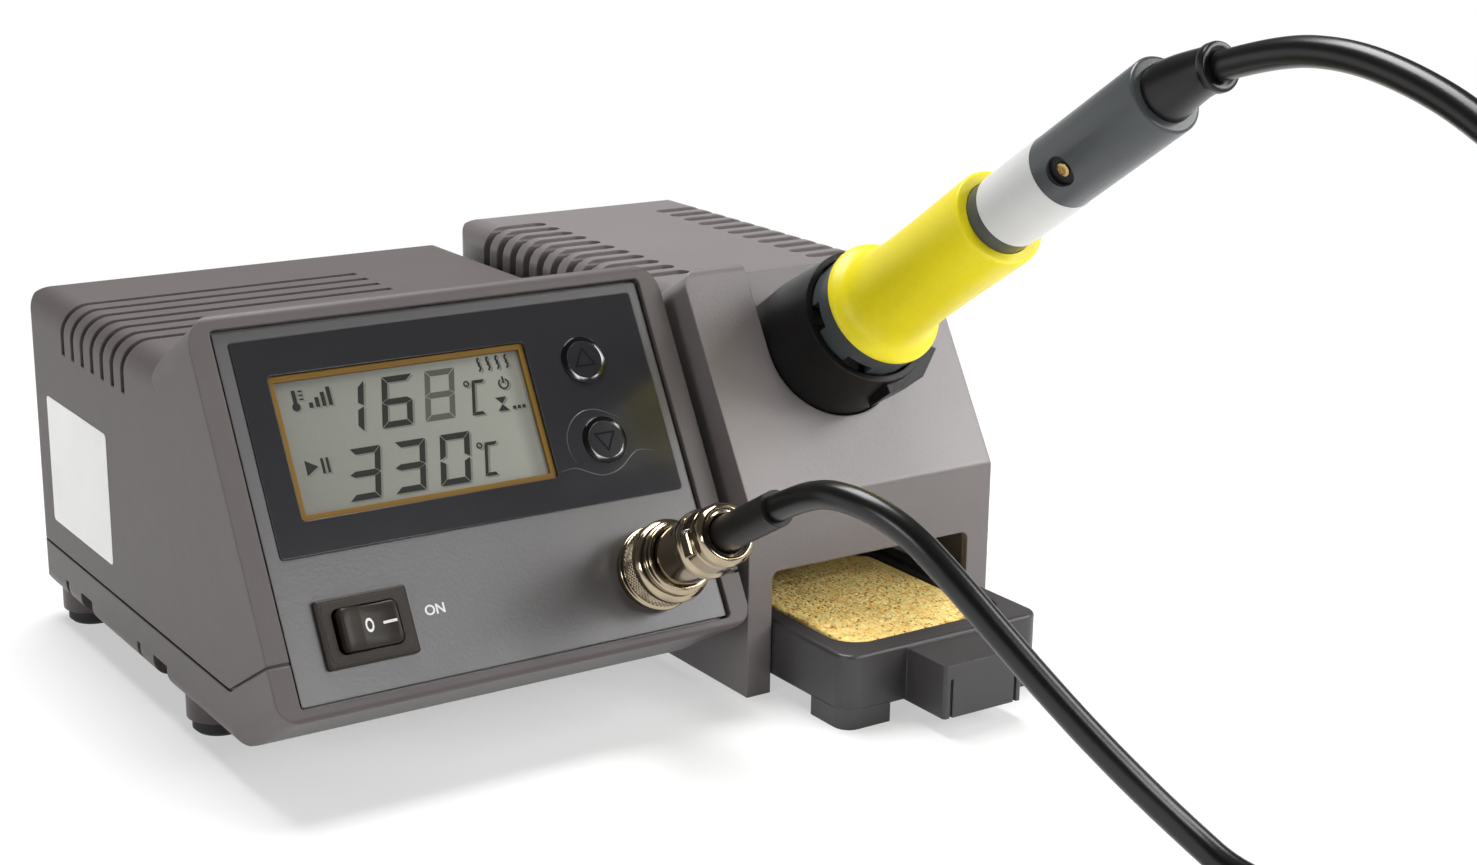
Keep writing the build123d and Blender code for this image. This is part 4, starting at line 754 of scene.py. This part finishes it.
frame_finish = moulded(
    "switch_frame_nylon", SWITCH_NYLON,
    grain=800.0, depth=0.00008, rounding=0.0003, rub=0.8, shine=0.25,
)
dress(frame_finish, "switch_frame")
dress(metal("tab_brass", TAB_BRASS, gloss=0.3), "switch_terminals")
lip_outer = round_rect(SWITCH_SPOT, (19.2, 13.2), 1.7)
lip_inner = round_rect(SWITCH_SPOT, (15.1, 9.9), 1.7)
lip_rings = ((lip_outer, 1.5), (lip_outer, 1.66), (lip_inner, 1.66), (lip_inner, 1.5))
lip_rows = [[panel @ mm(u, v, height) for u, v in ring] for ring, height in lip_rings]
switch_lip = lofted("switch_lip", [lip_rows], frame_finish, ring=True)
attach(switch_lip, "station")


def rocker_half(across):
    """Half the rocker's height at a place along it: its four corners are rounded."""
    reach = max(ROCKER_FACE[0][0] + ROCKER_CORNER - across, across - ROCKER_FACE[-1][0] + ROCKER_CORNER, 0)
    return ROCKER_HALF - ROCKER_CORNER + (ROCKER_CORNER**2 - min(reach, ROCKER_CORNER) ** 2 * 0.96) ** 0.5


rocker_rows = []
for across, top in ROCKER_FACE:
    half, u = rocker_half(across), SWITCH_SPOT[0] + across
    section = [(half, ROCKER_FOOT), (half, top - 0.6), (half - 0.12, top - 0.2), (half - 0.45, top), (half / 2, top)]
    section += [(-up, rise) for up, rise in reversed(section)]
    rocker_rows.append([panel @ mm(u, SWITCH_SPOT[1] + up, rise) for up, rise in section])
rocker_finish = moulded(
    "rocker_nylon", ROCKER_NYLON,
    grain=1300.0, depth=0.00003, gloss=0.4, rounding=0.0002, rub=0.6, shine=0.25,
)
rocker = lofted("switch_rocker", [rocker_rows], rocker_finish, sharp=radians(50))
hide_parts("rocker")
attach(rocker, "rocker_body")
rocker_signs = ring_band((SWITCH_SPOT[0] + 0.25, SWITCH_SPOT[1] + 0.2), 1.0, 0.62, steps=24, stretch=1.55)
rocker_signs.append(box_mark(SWITCH_SPOT[0] + 3.4, SWITCH_SPOT[1] - 0.15, 3.0, 0.6))
signs = plates("rocker_signs", rocker_signs, panel, 1.7, 0.0, ink)
for vertex in signs.data.vertices:
    u, v, h = (panel.inverted() @ vertex.co) / MM
    across = u - SWITCH_SPOT[0]
    k = next(i for i in range(len(ROCKER_FACE) - 1) if ROCKER_FACE[i + 1][0] >= across)
    (a, low), (b, high) = ROCKER_FACE[k], ROCKER_FACE[k + 1]
    face = low + (high - low) * (across - a) / (b - a)
    vertex.co = panel @ mm(u, v, face - 0.03 if h > 1 else face + 0.035)
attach(signs, "rocker_body")

# Panel socket: a turned and nickel-plated shell with a thread outside and a black moulded insert.
# It stands through the panel, and a nut behind holds it.

PLATED_NICKEL = (0.43, 0.355, 0.25, 1)

plated = metal("nickel_plate", PLATED_NICKEL, gloss=0.06, scratch=0.1, rounding=0.0)
dress(plated, "panel_socket", "socket_nut")
dress(black_finish, "socket_insert", "plug_insert")

# Cord plug: a turned and plated shell with a knurled ring that screws onto the socket.
# A two-screw clamp grips the cord, and a black rubber sleeve stands out of it.

KNURL_AROUND = 56
KNURL_ROWS = 7
KNURL_LOW, KNURL_HIGH = 4.1, 8.15
STUD_RADIUS = 9.1
STUD_HIGH = 0.0003
CLAMP_HIGH = 29.6
LUG_FROM = 6.7
LUG_SIZE = (1.1, 2.6, 1.8)
LUG_TAPER = ((0, 1), (0.75, 0.95), (1, 0.75))
SQUARE = ((-1, -1), (1, -1), (1, 1), (-1, 1))
SLEEVE_BROWN = (0.0125, 0.0105, 0.0095, 1)
plug = panel @ Matrix.Translation(mm(36.4, 14.2, 0))

ring_outline = eased(
    [
        (7.65, 1.9, 0), (9.3, 1.9, 0.3), (9.75, 2.35, 0.25), (9.7, 3.0, 0.25), (9.15, 3.3, 0.15), (9.0, 3.45, 0.1),
        (8.95, 4.1, 0), (8.95, 8.15, 0), (9.05, 8.35, 0.1), (9.6, 8.6, 0.3), (9.65, 10.2, 0.7), (8.75, 11.3, 0.5),
        (8.05, 11.45, 0.15), (7.95, 11.8, 0.15), (8.45, 12.1, 0.2), (8.5, 12.9, 0.35), (7.75, 13.3, 0.2),
        (7.65, 13.7, 0.15), (7.9, 14.0, 0.12), (7.5, 14.2, 0.1), (7.0, 14.2, 0), (7.0, 9.0, 0), (7.65, 9.0, 0),
    ],
    steps=6,
    closed=True,
)
ring_body = turned("coupling_ring_body", ring_outline, Matrix(), plated, steps=128, sharp=radians(50))

knurl_tree = bpy.data.node_groups.new("knurled_band", "GeometryNodeTree")
tree = knurl_tree
for label, kind in (
    ("Body", "Geometry"), ("Around", "Int"), ("Rows", "Int"), ("Radius", "Float"), ("Low", "Float"),
    ("High", "Float"), ("Finish", "Material"),
):
    tree.interface.new_socket(label, in_out="INPUT", socket_type="NodeSocket" + kind)
tree.interface.new_socket("Ring", in_out="OUTPUT", socket_type="NodeSocketGeometry")
asked = tree.nodes.new("NodeGroupInput").outputs
grid = made(tree, "GeometryNodeMeshGrid", Vertices_X=asked["Around"], Vertices_Y=asked["Rows"])
index = made(tree, "GeometryNodeInputIndex").outputs[0]
column = sums(tree, "FLOOR", sums(tree, "DIVIDE", index, asked["Rows"]), 0.0)
row = sums(tree, "MODULO", index, asked["Rows"])
stagger = sums(tree, "MULTIPLY", sums(tree, "MODULO", row, 2.0), 0.5)
step = sums(tree, "DIVIDE", 2 * pi, asked["Around"])
angle = sums(tree, "MULTIPLY", sums(tree, "ADD", column, stagger), step)
rise = sums(tree, "DIVIDE", sums(tree, "SUBTRACT", asked["High"], asked["Low"]), asked["Rows"])
stud_at = made(
    tree, "ShaderNodeCombineXYZ",
    X=sums(tree, "MULTIPLY", sums(tree, "COSINE", angle, 0.0), asked["Radius"]),
    Y=sums(tree, "MULTIPLY", sums(tree, "SINE", angle, 0.0), asked["Radius"]),
    Z=sums(tree, "MULTIPLY_ADD", sums(tree, "ADD", row, 0.5), rise, asked["Low"]),
).outputs[0]
studs_at = made(tree, "GeometryNodeSetPosition", Geometry=grid.outputs[0], Position=stud_at)
stud = made(tree, "GeometryNodeMeshCone", Vertices=4, Radius_Top=0.08, Radius_Bottom=1.0, Depth=1.0)
face_out = made(tree, "ShaderNodeCombineXYZ", Y=pi / 2, Z=angle).outputs[0]
half_wide = sums(tree, "MULTIPLY", sums(tree, "MULTIPLY", step, asked["Radius"]), 0.5)
studs = made(
    tree, "GeometryNodeInstanceOnPoints",
    Points=studs_at.outputs[0], Instance=stud.outputs[0],
    Rotation=made(tree, "FunctionNodeEulerToRotation", n0=face_out).outputs[0],
    Scale=made(tree, "ShaderNodeCombineXYZ", X=rise, Y=half_wide, Z=STUD_HIGH).outputs[0],
)
joined = made(tree, "GeometryNodeJoinGeometry")
for part in (studs.outputs[0], asked["Body"]):
    tree.links.new(part, joined.inputs[0])
solid = made(tree, "GeometryNodeRealizeInstances", Geometry=joined.outputs[0]).outputs[0]
coated = made(tree, "GeometryNodeSetMaterial", Geometry=solid, Material=asked["Finish"])
feed(tree.nodes.new("NodeGroupOutput"), Ring=coated.outputs[0])


def grown(piece, tree, **sizes):
    """Run a geometry tree on a piece once and keep the plain mesh that it gives."""
    modifier = piece.modifiers.new("grown", "NODES")
    modifier.node_group = tree
    sockets = {item.name: item.identifier for item in tree.interface.items_tree if item.in_out == "INPUT"}
    for name, value in sizes.items():
        modifier[sockets[name]] = value
    mesh = bpy.data.meshes.new_from_object(piece.evaluated_get(bpy.context.evaluated_depsgraph_get()))
    piece.modifiers.clear()
    piece.data = mesh


grown(
    ring_body, knurl_tree, Around=KNURL_AROUND, Rows=KNURL_ROWS, Radius=STUD_RADIUS * MM,
    Low=KNURL_LOW * MM, High=KNURL_HIGH * MM, Finish=plated,
)
ring_body.data.transform(plug)
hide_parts("coupling_ring")
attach(ring_body, "ring")
dress(plated, "ring_washer", "plug_shell")
clamp_outline = eased(
    [
        (6.9, 24.2, 0), (7.4, 24.2, 0.2), (7.85, 24.7, 0.35), (7.85, 26.3, 0.6), (7.3, 27.1, 0.2), (7.15, 27.5, 0.15),
        (7.05, 31.3, 0.15), (6.8, 31.5, 0.1), (6.85, 31.8, 0.15), (7.2, 32.2, 0.3), (7.1, 34.1, 0.7), (6.2, 35.3, 0.5),
        (5.6, 35.3, 0.2), (5.3, 35.0, 0.15), (4.6, 34.9, 0.2), (4.1, 34.4, 0.2), (4.05, 27.15, 0), (6.9, 27.15, 0),
    ],
    steps=6,
    closed=True,
)
clamp = turned("cord_clamp", clamp_outline, plug, plated, sharp=radians(50))
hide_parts("plug_clamp")
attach(clamp, "plug")
lug_bodies = []
for side in (-1, 1):
    lug_rows = []
    for out, share in LUG_TAPER:
        far, wide, tall = LUG_FROM + out * LUG_SIZE[0], share * LUG_SIZE[1], share * LUG_SIZE[2]
        lug_rows.append([plug @ mm(side * far, side * up * wide, CLAMP_HIGH + rise * tall) for up, rise in SQUARE])
    lug_bodies.append(lug_rows)
lugs = lofted("clamp_lugs", lug_bodies, plated, sharp=radians(30))
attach(lugs, "plug")
bolt_finish = metal("clamp_screw_nickel", SCREW_STEEL, gloss=0.22, scratch=0.35)
bolt_outline = eased(
    [(0, -1.0, 0), (1.2, -1.0, 0), (1.2, 0.75, 0.2), (0.5, 0.85, 0), (0.42, 0.55, 0), (0, 0.55, 0)], steps=3
)
lie_down = Matrix.Rotation(radians(-90), 4, "X")
for side in (-1, 1):
    bolt_place = plug @ Matrix.Translation(mm(side * 6.5, 2.4, CLAMP_HIGH)) @ lie_down
    bolt_name = "clamp_bolt_left" if side < 0 else "clamp_bolt_right"
    bolt = turned(bolt_name, bolt_outline, bolt_place, bolt_finish, steps=32)
    if side < 0:
        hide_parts("clamp_screws")
    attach(bolt, "plug")
sleeve_finish = moulded(
    "sleeve_rubber", SLEEVE_BROWN,
    grain=900.0, depth=0.00003, gloss=0.42, rounding=0.0004, shine=0.3,
)
dress(sleeve_finish, "plug_sleeve")

# Mains transformer: a stack of steel plates round a taped copper winding, under a bent steel strap.
# Four screws hold the strap to the posts of the lower housing.

CORE_STEEL = (0.16, 0.155, 0.15, 1)
TAPE_AMBER = (0.42, 0.24, 0.05, 1)
STRAP_STEEL = (0.5, 0.5, 0.49, 1)

core_finish = metal("core_plates", CORE_STEEL, gloss=0.42, scratch=0.6)
tree = core_finish.node_tree
spot = made(tree, "ShaderNodeTexCoord").outputs["Object"]
edges = made(
    tree, "ShaderNodeTexWave", dict(bands_direction="Y"), Vector=spot, Scale=320.0, Distortion=0.2
).outputs["Fac"]
feed(tree.nodes["Principled BSDF"], Normal=bumped(tree, edges, 0.7, 0.00012))
dress(core_finish, "transformer_core")
tape_finish = moulded("winding_tape", TAPE_AMBER, grain=500.0, gloss=0.3, rounding=0.0008, rub=0.2)
dress(tape_finish, "transformer_winding")
dress(metal("strap_zinc", STRAP_STEEL, gloss=0.34, scratch=0.5), "transformer_strap")
dress(screw_finish, "strap_screws")

# Power board: a second board of the same lacquered kind, screwed to posts of the lower housing.
# A finned aluminium heat sink, a smoothing capacitor in its sleeve and a nylon fuse holder stand on it.

SINK_GREY = (0.35, 0.35, 0.36, 1)
CAN_SLEEVE = (0.012, 0.014, 0.02, 1)
FUSE_NYLON = (0.03, 0.03, 0.032, 1)

dress(board_finish, "power_board")
dress(screw_finish, "power_screws")
dress(metal("sink_aluminium", SINK_GREY, gloss=0.4, scratch=0.6), "heat_sink")
can_finish = moulded("capacitor_sleeve", CAN_SLEEVE, grain=600.0, gloss=0.24, rounding=0.0008, rub=0.4)
dress(can_finish, "smoothing_capacitor")
dress(moulded("fuse_nylon", FUSE_NYLON, grain=1000.0, gloss=0.4, rounding=0.0004), "fuse_holder")

# Mains gland: a ribbed bush of black rubber for the mains lead.
# It is pressed into a hole in the back wall.

dress(moulded("gland_rubber", FOOT_BLACK, grain=800.0, gloss=0.55, rounding=0.0004), "mains_gland")

# Iron stand: one grey moulding of the same plastic as the case, with a sloping face and two legs.
# It is open at the front for the sponge tray, and hidden lugs hook it to the unit.

# Its grey is painted about twice as light as the case's: painted light for the light that its sloping face catches.
STAND_PAINTED_LIGHT_GREY = (0.164, 0.145, 0.144, 1)

stand_finish = moulded(
    "stand_plastic", STAND_PAINTED_LIGHT_GREY,
    grain=1250.0, depth=0.00003, gloss=0.36, rounding=0.0006, rub=0.9, shine=0.7,
)
dress(stand_finish, "stand_body")

# Iron holder: a matt black moulded ring that stands out of the slope, with a flat lug at its side.
# Behind it a drawn steel tube guards the hot tip.

HOLDER_BLACK = (0.0045, 0.0042, 0.0042, 1)
GUARD_STEEL = (0.42, 0.41, 0.4, 1)

holder_finish = moulded(
    "holder_phenolic", HOLDER_BLACK,
    grain=1100.0, depth=0.00005, gloss=0.36, rub=1.5, shine=0.3,
)
dress(holder_finish, "holder_ring")
dress(metal("guard_steel", GUARD_STEEL, gloss=0.32, scratch=0.5), "guard_tube")

# Sponge tray: a darker grey moulded drawer that slides between the stand's legs by its front grip.
# Broad square feet stand under its front corners.

TRAY_GREY = (0.045, 0.042, 0.043, 1)
TRAY_CORNERS = ((30.85, -55.47), (88.65, -55.47))
TRAY_CORNER_EASE = 4.0
FOOT_WIDE, FOOT_HIGH = 13.0, 4.9
FOOT_PROUD = 0.04

tray_finish = moulded("tray_plastic", TRAY_GREY, grain=1150.0, depth=0.00003, gloss=0.36, rub=1.2)
dress(tray_finish, "sponge_tray")
foot_edge = 1 - FOOT_PROUD / TRAY_CORNER_EASE
foot_bend = [(foot_edge - cos(radians(15 * k)), foot_edge - sin(radians(15 * k))) for k in range(7)]
foot_shapes = []
for inward, (u, v) in zip((1, -1), TRAY_CORNERS):
    shape = [(u - inward * FOOT_PROUD, v + FOOT_WIDE)]
    shape += [(u + inward * TRAY_CORNER_EASE * a, v + TRAY_CORNER_EASE * b) for a, b in foot_bend]
    shape += [(u + inward * FOOT_WIDE, v - FOOT_PROUD), (u + inward * FOOT_WIDE, v + FOOT_WIDE)]
    foot_shapes.append(shape)
tray_feet = plates("tray_front_feet", foot_shapes, Matrix(), 0.0, FOOT_HIGH, tray_finish)
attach(tray_feet, "tray")

# Cleaning sponge: a pressed cellulose pad that lies loose in the tray, tan yellow with brown flecks.
# It is cut to size with a die, so its edges are square but torn by open pores.

SPONGE_TAN = (0.80, 0.54, 0.14, 1)
SPONGE_PALE = (0.96, 0.74, 0.32, 1)
SPONGE_BROWN = (0.46, 0.27, 0.06, 1)
SPONGE_MIDDLE = (59.75, -20.47)
SPONGE_SIZE = (43.0, 52.0)
SPONGE_CORNER = 4.5
SPONGE_LOW, SPONGE_SHOULDER, SPONGE_HIGH = 7.02, 15.8, 16.8
SPONGE_RINGS = 56
FLAT_RINGS, SIDE_RINGS, SHOULDER_RINGS = 14, 12, 4
TOP_FROM = FLAT_RINGS + SIDE_RINGS + SHOULDER_RINGS
TOP_PULL = 0.03

sponge_finish, tree, shader, spot = new_finish("cellulose_sponge")
mottle = ramp(tree, speckle(tree, spot, 620.0, 5.0), 0.32, 0.66, kind="LINEAR")
fibre = speckle(tree, spot, 900.0, 6.0)
cells = made(tree, "ShaderNodeTexVoronoi", Vector=spot, Scale=620.0).outputs["Distance"]
fleck = ramp(tree, speckle(tree, spot, 420.0, 3.0), 0.56, 0.70, kind="LINEAR")
pore_dent_and_shade = ramp(tree, cells, 0.05, 0.3, kind="LINEAR")
base = mixed(tree, mottle, SPONGE_TAN, SPONGE_PALE)
base = mixed(tree, sums(tree, "MULTIPLY", fleck, 0.7), base, SPONGE_BROWN)
# The pores are painted darker: painted shade in them.
base = shaded(tree, base, sums(tree, "MULTIPLY_ADD", pore_dent_and_shade, 0.4, sums(tree, "MULTIPLY_ADD", fibre, 0.5, 0.74)))
feed(
    shader,
    Base_Color=base,
    Roughness=sums(tree, "MULTIPLY_ADD", fibre, 0.1, 0.85),
    Normal=bumped(tree, sums(tree, "ADD", pore_dent_and_shade, fibre), 1.0, 0.0007),
    Specular_IOR_Level=0.15,
)


def sponge_ring(share, inset, high):
    """A ring of points of the pad: its share of the way out, how far its edge is drawn in, and its height."""
    outline = round_rect((0, 0), [side - 2 * inset for side in SPONGE_SIZE], SPONGE_CORNER, steps=40)
    return [mm(SPONGE_MIDDLE[0] + u * share, SPONGE_MIDDLE[1] + v * share, high) for u, v in outline]


def torn_by(spot):
    """How deep the pores and the loose fibres dent the pad at a place, in metres."""
    broad = noise.noise(spot * 95.0)
    fine = noise.noise(spot * 520.0)
    pore = max(0.0, noise.noise(spot * 330.0 + Vector((3, 5, 7))) - 0.25)
    return (0.22 * broad + 0.10 * fine + 0.9 * pore) * MM


rings = [sponge_ring(j / FLAT_RINGS, 0.0, SPONGE_LOW) for j in range(1, FLAT_RINGS + 1)]
for k in range(1, SIDE_RINGS + 1):
    rings.append(sponge_ring(1, 0.0, SPONGE_LOW + (SPONGE_SHOULDER - SPONGE_LOW) * k / SIDE_RINGS))
for k in range(1, SHOULDER_RINGS + 1):
    rings.append(sponge_ring(1, 1.0 - cos(radians(18 * k)), SPONGE_SHOULDER + sin(radians(18 * k))))
rings += [sponge_ring(1 - j / SPONGE_RINGS, 1.0, SPONGE_HIGH) for j in range(SPONGE_RINGS)]
heart = mm(*SPONGE_MIDDLE)
for j, ring in enumerate(rings[FLAT_RINGS:], FLAT_RINGS):
    for k, spot in enumerate(ring):
        inward = Vector((*heart, spot.z - (TOP_PULL if j >= TOP_FROM else 0))) - spot
        ring[k] = spot + inward.normalized() * torn_by(spot)
pad_rows = [[mm(*SPONGE_MIDDLE, SPONGE_LOW)], *rings, [mm(*SPONGE_MIDDLE, SPONGE_HIGH)]]
sponge = lofted("cleaning_sponge", [pad_rows], sponge_finish, sharp=radians(60))
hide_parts("sponge")
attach(sponge, "tray")

# Iron handle: a dark grey moulded tube with a toothed collar, and a yellow rubber sleeve where it is held.
# A blank pale band is stuck round the tube, one small screw closes it, and a black boot guards the cord.

HANDLE_GREY = (0.066, 0.072, 0.075, 1)
COLLAR_GREY = (0.05, 0.058, 0.062, 1)
GRIP_YELLOW = (0.80, 0.68, 0.004, 1)
SCREW_BRASS = (0.55, 0.38, 0.16, 1)
WELL_PAINTED_SHADE = (0.008, 0.008, 0.0085, 1)
BAND_WHITE = (0.62, 0.62, 0.61, 1)
SCREW_ALONG = 117.8
WELL_RADIUS = 3.4
TUBE_END = 145.3
RING_OFF = 0.31
BOOT_OUTLINE = (
    (-0.03, 6.35), (0.0, 6.4), (0.08, 6.3), (0.2, 6.0), (0.4, 5.5), (0.6, 5.0), (0.8, 4.65), (0.86, 4.62),
    (0.87, 4.85), (0.89, 5.02), (0.97, 5.02), (0.99, 4.9), (1.0, 4.6), (0.995, 3.6), (0.98, 3.2),
)
BOOT_BEND = 0.51
BOOT_SIDES = 64
iron = Matrix.Translation((0.05975, 0.004932, 0.0691)) @ Matrix.Rotation(radians(56), 4, "X")

handle_finish = smooth("handle_plastic", HANDLE_GREY, grain=1200.0, gloss=0.25, shine=0.35)
screw_side = Matrix.Rotation(radians(202), 4, "Z") @ Matrix.Rotation(radians(90), 4, "Y")
screw_place = iron @ Matrix.Translation(mm(0, 0, SCREW_ALONG)) @ screw_side
# The tube's rings stand off the well's middle, so that no edge of the two falls together.
tube_outline = eased(
    [(7.0, 39.05, 0), (8.5, 39.05, 0)]
    + [(8.5, SCREW_ALONG + step + RING_OFF, 0) for step in range(-5, 6)]
    + [(8.5, 145.0, 0.4), (7.9, TUBE_END, 0.2), (5.8, TUBE_END, 0), (5.8, 142.0, 0), (7.0, 142.0, 0)],
    closed=True,
)
tube = turned("handle_tube_moulding", tube_outline, iron, handle_finish, steps=128)
well_cut = turned(
    "well_cut", [(0, 6.5), (WELL_RADIUS, 6.5), (WELL_RADIUS, 12), (0, 12)], screw_place, handle_finish, steps=48
)
cut = tube.modifiers.new("screw_well", "BOOLEAN")
cut.object = well_cut
cut.solver = "EXACT"
bored = bpy.data.meshes.new_from_object(tube.evaluated_get(bpy.context.evaluated_depsgraph_get()))
tube.modifiers.clear()
bored.set_sharp_from_angle(angle=radians(32))
tube.data = bored
bpy.data.objects.remove(well_cut)
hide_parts("handle_tube")
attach(tube, "iron")
collar_finish = moulded("collar_plastic", COLLAR_GREY, grain=1200.0, depth=0.00003, gloss=0.38, rub=0.5)
dress(collar_finish, "iron_collar")
grip_outline = eased(
    [
        (8.62, 39.06, 0), (14.9, 39.06, 0.2), (15.1, 39.5, 0.3), (14.7, 40.5, 0.5), (12.6, 42.2, 1.6),
        (11.5, 45.6, 1.8), (11.0, 53.0, 4.0), (11.0, 68.0, 6.0), (11.3, 85.8, 1.0), (11.2, 87.2, 0.4),
        (10.6, 87.4, 0.2), (8.62, 87.4, 0),
    ],
    steps=8,
    closed=True,
)
grip_finish = smooth("grip_rubber", GRIP_YELLOW, grain=1000.0, depth=0.00004, gloss=0.42)
grip = turned("grip_rubber_sleeve", grip_outline, iron, grip_finish, steps=128)
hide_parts("grip_sleeve")
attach(grip, "iron")
# The screw's well is lined in near-black: painted shade in the recess.
edge, wall = WELL_RADIUS - 0.02, WELL_RADIUS - 0.2
well = turned(
    "screw_well", [(0, 6.61), (edge, 6.61), (edge, 7.85), (wall, 7.75), (wall, 6.75), (0, 6.75)],
    screw_place, smooth("well_painted_shade", WELL_PAINTED_SHADE, grain=900.0, depth=0.00004, gloss=0.6), steps=48,
)
brass_head = turned(
    "brass_screw",
    eased([(0, 6.8, 0), (1.6, 6.8, 0), (1.6, 7.3, 0.2), (0.9, 7.5, 0), (0.75, 7.1, 0), (0, 7.1, 0)], steps=3),
    screw_place, metal("screw_brass", SCREW_BRASS, gloss=0.25, scratch=0.5), steps=32,
)
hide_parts("handle_screw")
for piece in (well, brass_head):
    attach(piece, "iron")
boot_start = iron @ mm(0, 0, TUBE_END - 0.1)
boot_turn = boot_start + (iron.to_3x3() @ Vector((0, 0, 1))) * ((boot_end - boot_start).length * BOOT_BEND)
sideways = Vector((1, 0, 0))
turns = [2 * pi * k / BOOT_SIDES for k in range(BOOT_SIDES)]
boot_rows = []
for share, radius in BOOT_OUTLINE:
    spot = boot_start * (1 - share) ** 2 + boot_turn * 2 * share * (1 - share) + boot_end * share**2
    way = ((boot_turn - boot_start) * (1 - share) + (boot_end - boot_turn) * share).normalized()
    up = way.cross(sideways)
    boot_rows.append([spot + (sideways * cos(angle) + up * sin(angle)) * radius * MM for angle in turns])
boot_finish = smooth("boot_rubber", JACKET_BLACK, grain=800.0, gloss=0.3, shine=0.4)
boot = lofted("cord_boot_rubber", [boot_rows], boot_finish, sharp=radians(40))
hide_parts("cord_boot")
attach(boot, "iron")
band_outline = eased(
    [(8.45, 91.2, 0), (8.56, 91.2, 0.04), (8.62, 91.4, 0.08)]
    + [(8.62, 110.5, 0.08), (8.56, 110.7, 0.04), (8.45, 110.7, 0)],
    closed=True,
)
band_finish = smooth("band_paper", BAND_WHITE, grain=2200.0, gloss=0.4)
band = turned("handle_band", band_outline, iron, band_finish)
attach(band, "iron")

# Heating end, inside the holder: a ceramic heater in a drawn steel barrel, and a plated copper tip.
# A steel nut holds the barrel to the handle.

BARREL_STEEL = (0.48, 0.46, 0.43, 1)
HEATER_CERAMIC = (0.72, 0.69, 0.62, 1)
TIP_PLATE = (0.55, 0.42, 0.3, 1)

barrel_finish = metal("barrel_stainless", BARREL_STEEL, gloss=0.3, scratch=0.5)
dress(barrel_finish, "barrel_nut", "heater_barrel")
dress(moulded("heater_ceramic", HEATER_CERAMIC, grain=900.0, gloss=0.6, rounding=0.0002, rub=0.1), "heater_core")
dress(metal("tip_plating", TIP_PLATE, gloss=0.28, scratch=0.5), "tip")
